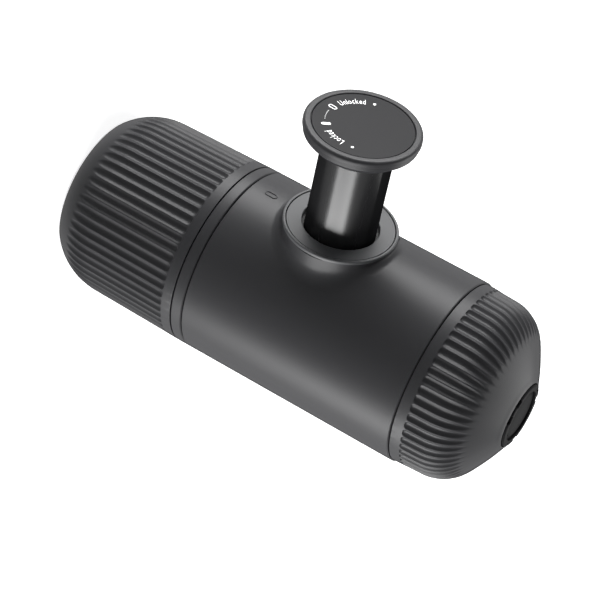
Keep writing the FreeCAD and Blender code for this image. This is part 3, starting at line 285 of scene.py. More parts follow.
# Each has its name, colour and roughness, and how much it mirrors where that isn't the usual.
SHELL = plastic("shell_plastic", (0.018, 0.018, 0.0195), 0.42, 0.15, grain=0.013 * MM)
TUBE = plastic("gloss_black_tube", (0.010, 0.010, 0.0105), 0.25, 0.25)
COLLAR = plastic("collar_grey", (0.050, 0.051, 0.053), 0.42, 0.16, grain=0.006 * MM)
DISC = plastic("disc_dark", (0.013, 0.013, 0.014), 0.42, 0.05, grain=0.006 * MM)
COVER = plastic("cover_dark", (0.008, 0.008, 0.0085), 0.5, 0.015)
CHASSIS = plastic("chassis_plastic", (0.03, 0.03, 0.032), 0.45)
BEARING = plastic("bearing_plastic", (0.55, 0.52, 0.45), 0.38)
SILICONE = rubber("valve_silicone", (0.62, 0.61, 0.58), 0.5)
SEAL = rubber("seal_rubber", (0.018, 0.018, 0.018), 0.65)
STEEL = metal("stainless_steel", (0.62, 0.62, 0.61), 0.28, anisotropic=0.4)
PRINT = plastic("white_print", (0.85, 0.85, 0.85), 0.5, 0.3)

# Without this their edges would fade into the white background.
dull_at_edge(SHELL, 0.60, 0.90)
dull_at_edge(TUBE, 0.32, 0.50)

# The material of each slot in the record.
FINISH = {
    "shell": SHELL, "gloss_tube": TUBE, "collar": COLLAR, "dark_disc": DISC, "chassis": CHASSIS,
    "bearing": BEARING, "valve": SILICONE, "seal": SEAL, "stainless": STEEL,
}


def dress_cad_nodes():
    """Gives each CAD node its material and a smooth look on its curved faces."""
    slots = {part["node"]: part["material_slot"] for part in frame["record"]["subparts"]}
    for name, node in nodes.items():
        node.data.materials.clear()
        node.data.materials.append(FINISH[slots[name]])
        for polygon in node.data.polygons:
            polygon.use_smooth = True
            polygon.material_index = 0
        weld = node.modifiers.new("Weld", "WELD")
        weld.merge_threshold = CAD_MERGE_DISTANCE
        split = node.modifiers.new("Sharp", "EDGE_SPLIT")
        split.split_angle = CAD_SMOOTH_ANGLE
        split.use_edge_sharp = False
        weigh_normals(node)


# --- fluted shells ------------------------------------------------------------------------------
FLUTE_COUNT = 60
FLUTE_STEPS = 9                # steps from a flute's middle to its crest
FLUTE_CROWDING = 1.4           # over 1, the steps get shorter towards the crest
FLUTE_DEPTH = 0.8 * MM
FLUTE_LAND = 3.4 * MM          # plain skin between a seam and the flutes
FLUTE_END = 1.4 * MM           # length of a flute's round end
FLUTE_SOFT = 0.06 * MM         # easing where a flute runs out into the skin
CREST_SOFT = 0.14              # round of a ridge's crest, as a share of half a flute's width
FLUTE_RUN_OUT = 4.0            # how late the cutter lifts on a shoulder
NO_FLUTE = 2 * FLUTE_DEPTH     # lift of the cutter where nothing is cut
SEAM_STEPS = 4
# Where the rows over a flute's round end lie: it starts at 0 and is at full depth from 1 on.
END_SHARES = (-0.4, -0.12, -0.04, 0, 0.02, 0.06, 0.12, 0.2, 0.3, 0.42, 0.56, 0.74, 1, 1.3)


def flute_profile():
    """(turn, share) across one flute: turn from -1 to 1 between its two crests, and the share of
    the full depth there. The flute is round and the crests are softened."""
    profile = []
    for step in range(-FLUTE_STEPS, FLUTE_STEPS):
        from_crest = (1 - abs(step) / FLUTE_STEPS) ** FLUTE_CROWDING
        softened = min(math.hypot(from_crest, CREST_SOFT), 1.0)
        share = 1 - ((1 - softened) / (1 - CREST_SOFT)) ** 2
        profile.append((math.copysign(1 - from_crest, step), share))
    return profile


def fluted_skin(rows, first_angle):
    """The outside of a fluted shell. A row is (radius, height, normal r, normal z, lift), with the
    lift of the cutter from its full depth, so that the flutes get round ends."""
    verts = []
    half_flute = math.pi / FLUTE_COUNT
    profile = flute_profile()
    for radius, height, normal_r, normal_z, lift in rows:
        for flute in range(FLUTE_COUNT):
            middle = first_angle + 2 * half_flute * flute
            for turn, share in profile:
                cut = FLUTE_DEPTH * share - lift
                depth = (cut + math.hypot(cut, FLUTE_SOFT)) / 2
                verts.append(barrel_point(
                    radius - depth * normal_r, height - depth * normal_z, middle + half_flute * turn
                ))
    return verts, ring_faces(len(rows), FLUTE_COUNT * len(profile))


def land_rows(start, direction, taper, first_radius):
    """Rows from a shell's edge at a seam, over the plain land, to where the flutes run at full
    depth. direction is 1 where the shell goes up from the seam."""
    tilt = math.radians(taper)
    rows = []
    for step in range(SEAM_STEPS + 1):
        turn = math.radians(90 * step / SEAM_STEPS)
        rows.append((
            first_radius - SEAM_ROUND + SEAM_ROUND * math.sin(turn),
            start + direction * SEAM_ROUND * (1 - math.cos(turn)),
            math.sin(turn), -direction * math.cos(turn), NO_FLUTE,
        ))
    for share in END_SHARES:
        distance = FLUTE_LAND + share * FLUTE_END
        from_full = 1 - min(share, 1)
        lift = FLUTE_DEPTH * (1 - math.sqrt(1 - from_full ** 2)) if share >= 0 else NO_FLUTE
        rows.append((
            first_radius - distance * math.tan(tilt), start + direction * distance,
            math.cos(tilt), direction * math.sin(tilt), lift,
        ))
    return rows


def shoulder_rows(centre_r, centre_z, radius, taper, last, fade, direction, steps):
    """Rows over a round shoulder, where the flutes run out as it turns away. It goes from the taper
    to the last angle, and the flutes have run out fade degrees past the taper."""
    rows = []
    for step in range(steps + 1):
        turn = taper + (last - taper) * step / steps
        angle = math.radians(turn)
        lift = FLUTE_DEPTH * ((turn - taper) / fade) ** FLUTE_RUN_OUT
        rows.append((
            centre_r + radius * math.cos(angle), centre_z + direction * radius * math.sin(angle),
            math.cos(angle), direction * math.sin(angle), min(lift, NO_FLUTE),
        ))
    return rows


def smooth_rows(points):
    """Plain rows, with no flutes, through (radius, height) points."""
    return [(max(radius, 0.0), height, 1.0, 0.0, NO_FLUTE) for radius, height in points]


CUP_TAPER = 0.9                # degrees, as are the other tapers and the fades
CUP_SHOULDER_HEIGHT = 15.3 * MM
CUP_SHOULDER_RADIUS = 21.2 * MM
CUP_EDGE_RADIUS = 2.0 * MM     # between the shoulder and the base
CUP_BASE_MARGIN = 1 * MM       # a ring round the base, which keeps its shading flat
CUP_BORE_RADIUS = 28.2 * MM
CUP_FLOOR = 2.2 * MM
CUP_FADE = 24.0
CUP_FIRST_FLUTE = math.radians(4.4)


def make_cup():
    """A fluted cup, upright, with its rim at the seam and a rounded shoulder down to its base."""
    rim = cup_high.z
    taper = math.radians(CUP_TAPER)
    start_radius = BODY_RADIUS - (rim - CUP_SHOULDER_HEIGHT) * math.tan(taper)
    centre_r = start_radius - CUP_SHOULDER_RADIUS * math.cos(taper)
    centre_z = CUP_SHOULDER_HEIGHT + CUP_SHOULDER_RADIUS * math.sin(taper)
    edge_r = centre_r + math.sqrt(
        (CUP_SHOULDER_RADIUS - CUP_EDGE_RADIUS) ** 2 - (centre_z - CUP_EDGE_RADIUS) ** 2
    )
    edge_turn = math.degrees(math.atan2(centre_z - CUP_EDGE_RADIUS, edge_r - centre_r))
    rows = land_rows(rim, -1, CUP_TAPER, BODY_RADIUS)
    rows += shoulder_rows(
        centre_r, centre_z, CUP_SHOULDER_RADIUS, CUP_TAPER, edge_turn, CUP_FADE, -1, steps=26
    )
    foot = arc(edge_r, CUP_EDGE_RADIUS, CUP_EDGE_RADIUS, -edge_turn, -90, steps=6)[1:]
    rows += smooth_rows(foot + [(edge_r - CUP_BASE_MARGIN, 0), (edge_r / 2, 0), (0, 0)])
    inner_arc = CUP_BORE_RADIUS - centre_r
    floor_turn = math.degrees(math.asin((centre_z - CUP_FLOOR) / inner_arc))
    inside = [(BODY_RADIUS - SEAM_ROUND, rim), (CUP_BORE_RADIUS + ROUND, rim)]
    inside += arc(CUP_BORE_RADIUS + ROUND, rim - ROUND, ROUND, 90, 180, steps=3)
    inside += arc(centre_r, centre_z, inner_arc, 0, -floor_turn, steps=16)
    inside += [(0, CUP_FLOOR)]
    parts = joined(
        fluted_skin(rows, CUP_FIRST_FLUTE),
        lathe_parts(inside, barrel_point, BARREL_SEGMENTS, closed=False),
    )
    finish_mesh("cup_shell", *parts, "drinking_cup", "shell", SHELL, ("cup",))


HEAD_TAPER = 2.5
HEAD_STRAIGHT = 9.7 * MM       # from the seam to where the shoulder starts
HEAD_SHOULDER_RADIUS = 13.6 * MM
HEAD_SHOULDER_ANGLE = 58.5     # degrees, where the shoulder goes over into the dome
HEAD_DOME_RADIUS = 85.0 * MM
HEAD_WALL = 2.0 * MM
HEAD_FADE = 57.0
HEAD_FIRST_FLUTE = math.radians(1.3)
HEAD_LIP_TURN = 70             # degrees, where the dome goes over into the opening's round
OPENING_RADIUS = 10.8 * MM
SOCKET_RADIUS = 28.25 * MM
SOCKET_DEPTH = 4.9 * MM


def make_head():
    """The fluted head: a rounded shoulder, a shallow dome over it and a round opening on top."""
    seam, rim = head_low.z, head_high.z
    taper = math.radians(HEAD_TAPER)
    first_radius = (head_high.x - head_low.x) / 2
    foot_radius = first_radius - HEAD_STRAIGHT * math.tan(taper)
    centre_r = foot_radius - HEAD_SHOULDER_RADIUS * math.cos(taper)
    centre_z = seam + HEAD_STRAIGHT - HEAD_SHOULDER_RADIUS * math.sin(taper)
    rows = land_rows(seam, 1, HEAD_TAPER, first_radius)
    rows += shoulder_rows(
        centre_r, centre_z, HEAD_SHOULDER_RADIUS, HEAD_TAPER, HEAD_SHOULDER_ANGLE, HEAD_FADE, 1,
        steps=24,
    )
    dome = dome_points(rows[-1][:2], (OPENING_RADIUS, rim), HEAD_DOME_RADIUS, steps=10)
    lip = arc(OPENING_RADIUS + ROUND, rim - ROUND, ROUND, HEAD_LIP_TURN, 180, steps=4)
    rows += smooth_rows(dome[1:-1] + lip + [(OPENING_RADIUS, rim - HEAD_WALL)])
    inner = HEAD_SHOULDER_RADIUS - HEAD_WALL
    inside = [
        (first_radius - SEAM_ROUND, seam),
        (SOCKET_RADIUS, seam), (SOCKET_RADIUS, seam + SOCKET_DEPTH),
    ]
    inside += arc(centre_r, centre_z, inner, HEAD_TAPER, HEAD_SHOULDER_ANGLE, steps=10)
    inside += [(OPENING_RADIUS, rim - HEAD_WALL)]
    parts = joined(
        fluted_skin(rows, HEAD_FIRST_FLUTE),
        lathe_parts(inside, barrel_point, BARREL_SEGMENTS, closed=False),
    )
    finish_mesh("head_shell", *parts, "head", "shell", SHELL, ("outlet_head",))


def dome_points(start, stop, radius, steps):
    """Points on a shallow arc that bulges upwards between two points."""
    start, stop = Vector(start), Vector(stop)
    chord = stop - start
    half = math.asin(chord.length / 2 / radius)
    normal = Vector((-chord.y, chord.x)).normalized()
    if normal.y < 0:
        normal = -normal
    centre = (start + stop) / 2 - normal * radius * math.cos(half)
    first, last = start - centre, stop - centre
    points = []
    for step in range(steps + 1):
        spoke = first.lerp(last, step / steps).normalized() * radius
        points.append(tuple(centre + spoke))
    return points


# --- outlet cover -------------------------------------------------------------------------------
COVER_SEGMENTS = 360
COVER_SKIRT = 3.1 * MM         # how far its wall reaches into the head
COVER_PLUG_RADIUS = 2.9 * MM
COVER_RIM_WIDTH = 2.1 * MM
COVER_GROOVE_WIDTH = 1.2 * MM
COVER_GROOVE_DEPTH = 0.8 * MM
COVER_ROUND = 0.12 * MM
COVER_EDGE_TURN = 75           # degrees, where the flat of the rim goes over into its edge
NOTCH_PAIRS = 3
NOTCH_TURN = -42.8             # degrees from +X to the middle of the first pair of notches
NOTCH_SPREAD = 16.0            # from there to each notch of the pair
NOTCH_HALF_ANGLE = 7.5
NOTCH_DEPTH = 1.0 * MM
NOTCH_INNER = 8.9 * MM         # no notch is cut nearer the axis than this
NOTCH_FOOT = 1 * MM            # nor this near the foot of the cover's wall


def make_cover():
    """The face has a raised rim with pairs of finger notches, a groove and a low middle."""
    radius = (cover_high.x - cover_low.x) / 2
    top, middle = cover_high.z, head_high.z
    low = middle - COVER_SKIRT
    edge = top - middle
    rim_inner = radius - COVER_RIM_WIDTH
    groove_inner = rim_inner - COVER_GROOVE_WIDTH
    groove = top - COVER_GROOVE_DEPTH
    rows = eased([
        (0, middle), (groove_inner, middle, COVER_ROUND), (groove_inner, groove, 0),
        (rim_inner, groove, 0), (rim_inner, top, COVER_ROUND), (radius - edge, top),
    ], closed=False)
    rows += arc(radius - edge, middle, edge, COVER_EDGE_TURN, 0, steps=4)
    rows += [
        (radius, low), (COVER_PLUG_RADIUS, low),
        (COVER_PLUG_RADIUS, cover_low.z), (0, cover_low.z),
    ]
    verts, faces = lathe_parts(rows, barrel_point, COVER_SEGMENTS, closed=False)
    notches = [
        math.radians(90 + NOTCH_TURN + pair * 360 / NOTCH_PAIRS + side * NOTCH_SPREAD)
        for pair in range(NOTCH_PAIRS) for side in (-1, 1)
    ]
    half = math.radians(NOTCH_HALF_ANGLE)
    for vert in verts:
        reach = math.hypot(vert.x, vert.y)
        if reach < NOTCH_INNER or vert.z < low + NOTCH_FOOT:
            continue
        angle = math.atan2(vert.x, -vert.y)
        if any(abs((angle - notch + math.pi) % (2 * math.pi) - math.pi) < half
               for notch in notches):
            vert.xy = vert.xy * (max(reach - NOTCH_DEPTH, NOTCH_INNER) / reach)
    finish_mesh("cover_face", verts, faces, "cover", "dark_disc", COVER, ("outlet_cover",))


# --- piston -------------------------------------------------------------------------------------
TUBE_RADIUS = 11.08 * MM
TUBE_BORE = 9.5 * MM
TUBE_ROUND = 0.3 * MM          # at its inner end
LUG_ROOT = TUBE_RADIUS * 0.98  # a lug starts this far out, inside the tube's wall
LUG_RADIUS = 13.0 * MM
LUG_OUT = (17.7 * MM, 19.7 * MM)     # from where to where a lug reaches along the piston
LUG_HALF_ANGLE = math.radians(15)
LUG_STEPS = 8
PAD_OUT = -cap_low.y
PAD_BOTTOM = PAD_OUT - 6.0 * MM
PAD_CEILING = -tube_low.y      # what the tube's outer end stands against
PAD_RADIUS = (cap_high.x - cap_low.x) / 2
PAD_BEVEL = 2.4 * MM           # of the pad's underside, both ways
RIM_RADIUS = PAD_RADIUS + 0.4 * MM   # the rolled rim stands out past the pad's wall
RIM_HEIGHT = 2.0 * MM
SCREW_HOLE = 3.07 * MM
SCREW_RECESS = 4.5 * MM
SCREW_SEAT = 2 * MM            # from the pad's ceiling out to the screw's head
DISC_HOLE = PAD_RADIUS - 1.95 * MM
DISC_GAP = 0.15 * MM           # between the disc and its hole
DISC_ROUND = 0.15 * MM
DISC_SEGMENTS = 160
DISC_BOTTOM = -disc_high.y
DISC_TOP = -disc_low.y


def make_tube():
    """The piston's tube, with its two lock lugs. Each lug is a row of blocks round the tube."""
    low = -tube_high.y
    outline = eased([
        (TUBE_BORE, low, TUBE_ROUND), (TUBE_RADIUS, low, TUBE_ROUND),
        (TUBE_RADIUS, PAD_CEILING), (TUBE_BORE, PAD_CEILING),
    ])
    parts = [lathe_parts(outline, piston_point, PISTON_SEGMENTS)]
    for side in (math.pi / 2, -math.pi / 2):
        for step in range(LUG_STEPS):
            first = side - LUG_HALF_ANGLE + 2 * LUG_HALF_ANGLE * step / LUG_STEPS
            last = first + 2 * LUG_HALF_ANGLE / LUG_STEPS
            rings = [
                [piston_point(LUG_ROOT, out, first), piston_point(LUG_RADIUS, out, first),
                 piston_point(LUG_RADIUS, out, last), piston_point(LUG_ROOT, out, last)]
                for out in LUG_OUT
            ]
            parts.append(block(*rings))
    finish_mesh("tube_gloss", *joined(*parts), "handle", "gloss_tube", TUBE, ("piston_tube",))


def make_pad():
    """The push pad: a bevelled underside, a rolled rim and the place for the disc and the screw."""
    rim_foot, seat = PAD_OUT - RIM_HEIGHT, PAD_CEILING + SCREW_SEAT
    outline = eased([
        (SCREW_HOLE, PAD_CEILING), (TUBE_RADIUS, PAD_CEILING), (TUBE_RADIUS, PAD_BOTTOM, ROUND),
        (PAD_RADIUS - PAD_BEVEL, PAD_BOTTOM, 0.5 * MM),
        (PAD_RADIUS, PAD_BOTTOM + PAD_BEVEL, 0.6 * MM),
        (PAD_RADIUS, rim_foot, 0.1 * MM), (RIM_RADIUS, rim_foot, 0.3 * MM),
        (RIM_RADIUS, PAD_OUT, 1.0 * MM), (DISC_HOLE, PAD_OUT, 0.4 * MM),
        (DISC_HOLE, DISC_BOTTOM), (SCREW_RECESS, DISC_BOTTOM), (SCREW_RECESS, seat),
        (SCREW_HOLE, seat),
    ])
    verts, faces = lathe_parts(outline, piston_point, PISTON_SEGMENTS)
    finish_mesh("pad_shell", verts, faces, "handle", "shell", SHELL, ("piston_cap",))


def make_pad_disc():
    """The dark disc let into the pad."""
    radius = DISC_HOLE - DISC_GAP
    outline = eased([
        (0, DISC_BOTTOM), (radius, DISC_BOTTOM), (radius, DISC_TOP, DISC_ROUND), (0, DISC_TOP),
    ], closed=False)
    verts, faces = lathe_parts(outline, piston_point, DISC_SEGMENTS, closed=False)
    finish_mesh("pad_disc", verts, faces, "handle", "dark_disc", DISC, ("cap_disc",))


SPRING_TURNS = 8
SPRING_END_TURNS = 0.9         # closed turns at each end
SPRING_END_PITCH = 2.1         # rise of one closed turn, in radii of the wire
SPRING_STEPS = 32              # steps in a turn
WIRE_RADIUS = 0.8 * MM
WIRE_SIDES = 10


def make_return_spring():
    """A round-wire spring with closed ends. The piston presses it together as it goes in, but this
    mesh keeps the one shape.
    """
    coil = (spring_high.x - spring_low.x) / 2 - WIRE_RADIUS
    seat, free = -spring_high.y, -spring_low.y
    first, last = seat + WIRE_RADIUS, free - WIRE_RADIUS
    end_rise = SPRING_END_TURNS * SPRING_END_PITCH * WIRE_RADIUS
    steps = SPRING_TURNS * SPRING_STEPS
    verts = []
    for step in range(steps + 1):
        turn = step / SPRING_STEPS
        from_end = min(turn, SPRING_TURNS - turn)
        if from_end < SPRING_END_TURNS:
            rise = from_end / SPRING_END_TURNS * end_rise
            out = first + rise if turn == from_end else last - rise
        else:
            share = (turn - SPRING_END_TURNS) / (SPRING_TURNS - 2 * SPRING_END_TURNS)
            out = first + end_rise + (last - first - 2 * end_rise) * share
        for side in range(WIRE_SIDES):
            round_wire = 2 * math.pi * side / WIRE_SIDES
            verts.append(piston_point(
                coil + WIRE_RADIUS * math.cos(round_wire),
                out + WIRE_RADIUS * math.sin(round_wire),
                math.pi / 2 - 2 * math.pi * turn,
            ))
    start = tuple(range(WIRE_SIDES))
    stop = tuple(range(steps * WIRE_SIDES, (steps + 1) * WIRE_SIDES))
    faces = [start, stop[::-1]] + ring_faces(steps + 1, WIRE_SIDES)
    piece = finish_mesh("spring_wire", verts, faces, "main", "stainless", STEEL, ("return_spring",))
    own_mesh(piece)


RING_HOLE = 11.93 * MM
RING_LINE = 0.28 * MM          # dark line between the collar ring and the lip
RING_SINK = 0.15 * MM          # how far the ring's face lies below the top of the lip
RING_OUTER_ROUND = 0.12 * MM
RING_HOLE_ROUND = 0.3 * MM
BOSS_RADIUS = 17.8 * MM
LIP_INNER = 16.95 * MM
LIP_OUTER = BOSS_RADIUS + 0.04 * MM
LIP_FOOT = BOSS_RADIUS - 0.02 * MM   # it runs in under the boss's skin
LIP_HEIGHT = 0.9 * MM          # from its top down both its walls
LIP_SKIRT = 1.2 * MM           # from its top down to its foot
LIP_INNER_ROUND = 0.12 * MM
LIP_OUTER_ROUND = 0.45 * MM


def make_collar_ring():
    """The flat grey ring let into the boss round the piston."""
    outer, top, low = LIP_INNER - RING_LINE, -ring_low.y, -ring_high.y
    outline = eased([
        (RING_HOLE, low), (outer, low), (outer, top, RING_OUTER_ROUND),
        (RING_HOLE, top, RING_HOLE_ROUND),
    ])
    verts, faces = lathe_parts(outline, piston_point, PISTON_SEGMENTS)
    finish_mesh("collar_face", verts, faces, "main", "collar", COLLAR, ("collar_ring",))


def make_lip_painted_highlight():
    """The rounded lip of the boss, outside the dark line round the collar ring, laid over the
    boss's edge in the collar's light grey: a painted highlight on that rounded edge.
    """
    top = -ring_low.y + RING_SINK
    outline = eased([
        (LIP_INNER, top - LIP_HEIGHT), (LIP_INNER, top, LIP_INNER_ROUND),
        (LIP_OUTER, top, LIP_OUTER_ROUND), (LIP_OUTER, top - LIP_HEIGHT),
        (LIP_FOOT, top - LIP_SKIRT),
    ])
    verts, faces = lathe_parts(outline, piston_point, PISTON_SEGMENTS)
    # The collar's light grey on this lip is a painted highlight on the boss's rounded edge.
    finish_mesh("boss_lip_painted_highlight", verts, faces, "main", "collar", COLLAR)


# --- printed and moulded marks ------------------------------------------------------------------
MARK_RADIUS = 11.5 * MM
OPEN_TURN = 186.0              # degrees, clockwise from the top of the pad, as are all turns here
LOCK_TURN = 46.0               # from the open bar back to the solid one, as the pad turns to lock
BAR_HALF_LENGTH = 1.45 * MM
BAR_HALF_WIDTH = 0.72 * MM
BAR_LINE = 0.28 * MM           # line width of the open bar
SOLID_BAR_SHARE = 0.75         # the solid bar's width, as a share of the open one's
SOLID_BAR_INSET = 0.3 * MM     # it lies this much nearer the pad's centre
SMALL_DOT = (0.13 * MM, 0.12 * MM, 4)     # half its length and width, and the steps of an end
LARGE_DOT = (0.46 * MM, 0.45 * MM, 8)
SMALL_DOT_COUNT = 9
SMALL_DOT_START = 12           # from the open bar to the first small dot
SMALL_DOT_STEP = 2.7
LARGE_DOT_TURNS = (75.0, 255.0)
LARGE_DOT_OFFSET = 0.2 * MM
WORD_STARTS = (("Unlocked", OPEN_TURN + 13.0), ("Locked", 90.0))
WORD_RADIUS = MARK_RADIUS - 1.0 * MM      # of the line that the letters stand on
LETTER_SIZE = 3.3 * MM
LETTER_NARROW = 0.58           # width of a letter, as a share of its usual one
LETTER_GAP = 0.15 * MM
LETTER_STEPS = 3               # steps in each piece of a letter's curve


def pad_place(across, along, level):
    """A place on the pad, by its distance across and along from the disc's centre."""
    return Vector((across, -(DISC_TOP + level), PUMP_HEIGHT + along))


def turned(points, turn, radius):
    """Moves points drawn about a mark's own centre out to their radius, at a turn in degrees."""
    angle = math.radians(turn)
    return [
        ((radius + b) * math.sin(angle) + a * math.cos(angle),
         (radius + b) * math.cos(angle) - a * math.sin(angle))
        for a, b in points
    ]


def stadium(half_length, half_width, steps=8):
    """The outline of a bar with round ends."""
    points = []
    for end, start in ((1, 0), (-1, 180)):
        for step in range(steps + 1):
            angle = math.radians(start + 180 * step / steps)
            points.append((half_width * math.cos(angle),
                           end * (half_length - half_width) + half_width * math.sin(angle)))
    return points


def outline_band(outer, inner, place, low, high):
    """A flat band between two outlines that have the same number of points."""
    rings = ((outer, low), (outer, high), (inner, high), (inner, low))
    verts = [place(a, b, level) for edge, level in rings for a, b in edge]
    return verts, ring_faces(len(rings), len(outer), closed=True)


def letter_mesh(letter):
    """Flat mesh of one letter: its vertices, faces and width."""
    curve = bpy.data.curves.new("letter", "FONT")
    curve.body = letter
    curve.size = LETTER_SIZE
    curve.resolution_u = LETTER_STEPS
    item = bpy.data.objects.new("letter", curve)
    bpy.context.scene.collection.objects.link(item)
    bpy.context.view_layer.update()
    mesh = bpy.data.meshes.new_from_object(item)
    verts = [(vert.co.x * LETTER_NARROW, vert.co.y) for vert in mesh.vertices]
    faces = [tuple(polygon.vertices) for polygon in mesh.polygons]
    bpy.data.objects.remove(item)
    bpy.data.meshes.remove(mesh)
    bpy.data.curves.remove(curve)
    return verts, faces, max(x for x, _ in verts)


def word_on_arc(word, start_turn, radius):
    """Letters that stand on an arc, read clockwise, as one set of vertices and faces."""
    parts = []
    along = 0.0
    for letter in word:
        verts, faces, width = letter_mesh(letter)
        turn = start_turn + math.degrees((along + width / 2) / radius)
        placed = turned([(x - width / 2, y) for x, y in verts], turn, radius)
        parts.append(([pad_place(a, b, LIFT) for a, b in placed], faces))
        along += width + LETTER_GAP
    return joined(*parts)


def make_pad_marks():
    """Lock marks printed on the pad: two words, a solid and an open bar, dots between."""
    parts = []
    solid = turned(
        stadium(BAR_HALF_LENGTH, BAR_HALF_WIDTH * SOLID_BAR_SHARE),
        OPEN_TURN - LOCK_TURN, MARK_RADIUS - SOLID_BAR_INSET,
    )
    parts.append(prism(solid, pad_place, 0, LIFT))
    outer = turned(stadium(BAR_HALF_LENGTH, BAR_HALF_WIDTH), OPEN_TURN, MARK_RADIUS)
    inner = turned(
        stadium(BAR_HALF_LENGTH - BAR_LINE, BAR_HALF_WIDTH - BAR_LINE), OPEN_TURN, MARK_RADIUS
    )
    parts.append(outline_band(outer, inner, pad_place, 0, LIFT))
    for step in range(SMALL_DOT_COUNT):
        turn = OPEN_TURN - SMALL_DOT_START - step * SMALL_DOT_STEP
        dot = turned(stadium(*SMALL_DOT), turn, MARK_RADIUS)
        parts.append(prism(dot, pad_place, 0, LIFT))
    for turn in LARGE_DOT_TURNS:
        dot = turned(stadium(*LARGE_DOT), turn, MARK_RADIUS + LARGE_DOT_OFFSET)
        parts.append(prism(dot, pad_place, 0, LIFT))
    for word, turn in WORD_STARTS:
        parts.append(word_on_arc(word, turn, WORD_RADIUS))
    finish_mesh("pad_marks", *joined(*parts), "handle", "dark_disc", PRINT)


BARREL_MARK_HEIGHT = 59.5 * MM   # of its middle
BARREL_MARK_LENGTH = 4.3 * MM
BARREL_MARK_WIDTH = 2.2 * MM
BARREL_MARK_LINE = 0.42 * MM
BARREL_MARK_LEVELS = (-0.1 * MM, 0.22 * MM)   # its foot and its top, from the barrel's skin
BARREL_MARK_BEVEL = 0.09 * MM


def make_barrel_mark():
    """A low raised ring on the barrel that the bars on the pad point at."""
    def on_barrel(across, along, level):
        return barrel_point(BODY_RADIUS + level, BARREL_MARK_HEIGHT + along, across / BODY_RADIUS)

    half_length, half_width = BARREL_MARK_LENGTH / 2, BARREL_MARK_WIDTH / 2
    outer = stadium(half_length, half_width)
    inner = stadium(half_length - BARREL_MARK_LINE, half_width - BARREL_MARK_LINE)
    verts, faces = outline_band(outer, inner, on_barrel, *BARREL_MARK_LEVELS)
    piece = finish_mesh("barrel_mark", verts, faces, "main", "shell", SHELL)
    bevel = piece.modifiers.new("Bevel", "BEVEL")
    bevel.width = BARREL_MARK_BEVEL
    bevel.segments = 2


# --- threads ------------------------------------------------------------------------------------
THREAD_STARTS = 3
THREAD_LEAD = 9.0 * MM
THREAD_CREST = 0.24 * MM
THREAD_ROOT = -0.05 * MM       # a ridge's foot, inside the neck's skin
THREAD_HALF_WIDTH = 0.55 * MM
THREAD_FLAT = 0.45             # width of the flat crest, as a share of the ridge's
THREAD_FADES = 12              # a ridge fades over one part in so many of its length at each end
THREAD_STEPS = 90
NECK_RADIUS = 28.2 * MM
TANK_NECK = (53.4 * MM, 60.6 * MM)
HOLDER_NECK = (111.6 * MM, 126.8 * MM)


def make_thread(name, body, slot, material, neck, direction):
    """Three low helical ridges round a neck. direction is 1 where it screws in towards +Z."""
    low, high = neck
    parts = []
    for start in range(THREAD_STARTS):
        verts = []
        for step in range(THREAD_STEPS + 1):
            share = step / THREAD_STEPS
            height = low + (high - low) * share
            angle = direction * 2 * math.pi * ((height - low) / THREAD_LEAD + start / THREAD_STARTS)
            crest = THREAD_CREST * min(1.0, share * THREAD_FADES, (1 - share) * THREAD_FADES)
            section = (
                (-1, THREAD_ROOT), (-THREAD_FLAT, crest), (THREAD_FLAT, crest), (1, THREAD_ROOT),
            )
            verts += [
                barrel_point(NECK_RADIUS + lift, height + offset * THREAD_HALF_WIDTH, angle)
                for offset, lift in section
            ]
        # Each section has four points, with three faces between them.
        faces = []
        for step in range(THREAD_STEPS):
            for side in range(3):
                first = step * 4 + side
                faces.append((first, first + 1, first + 5, first + 4))
        parts.append((verts, faces))
    finish_mesh(name, *joined(*parts), body, slot, material)


# --- camera, light and floor --------------------------------------------------------------------
CAMERA_PLACE = Vector((0.49728, -0.46035, 0.30193))
CAMERA_RIGHT = Vector((-0.52999857, -0.16439338, 0.83191125))
CAMERA_DOWN = Vector((0.48572323, 0.74530165, 0.45672573))
CAMERA_AHEAD = Vector((-0.69510752, 0.6461426, -0.31515913))
LENS = 137.68                  # millimetres, as is the sensor
SENSOR = 36.0


def make_camera():
    """The photo's view."""
    data = bpy.data.cameras.new("camera")
    data.lens = LENS
    data.sensor_width = SENSOR
    data.clip_start = 0.01
    camera = bpy.data.objects.new("camera", data)
    bpy.context.scene.collection.objects.link(camera)
    turn = Matrix((CAMERA_RIGHT, -CAMERA_DOWN, -CAMERA_AHEAD)).transposed().to_4x4()
    camera.matrix_world = Matrix.Translation(CAMERA_PLACE) @ turn
    bpy.context.scene.camera = camera


LIGHT_AIM = Vector((0, 0, 0.08))
# Two tall soft boxes, one on each side of the camera, and one high behind the object. Each has its
# name, azimuth and elevation in degrees, distance, width, height and radiance.
SOFT_BOXES = (
    ("piston_side", -30, -10, 0.8, 0.40, 0.8, 18.0),
    ("far_side", 135, 5, 0.8, 0.36, 0.7, 20.5),
    ("over_outlet", 240, 55, 0.9, 0.6, 0.6, 4.6),
)


def soft_box(name, azimuth, elevation, distance, width, height, radiance):
    """A soft box that faces the object. The azimuth runs from -Y towards +X."""
    turn, rise = math.radians(azimuth), math.radians(elevation)
    direction = Vector((
        math.sin(turn) * math.cos(rise), -math.cos(turn) * math.cos(rise), math.sin(rise)
    ))
    data = bpy.data.lights.new(name, "AREA")
    data.shape = "RECTANGLE"
    data.size, data.size_y = width, height
    data.energy = math.pi * width * height * radiance
    light = bpy.data.objects.new(name, data)
    bpy.context.scene.collection.objects.link(light)
    light.location = LIGHT_AIM + direction * distance
    light.rotation_euler = (-direction).to_track_quat("-Z", "Y").to_euler()
    light.visible_camera = False


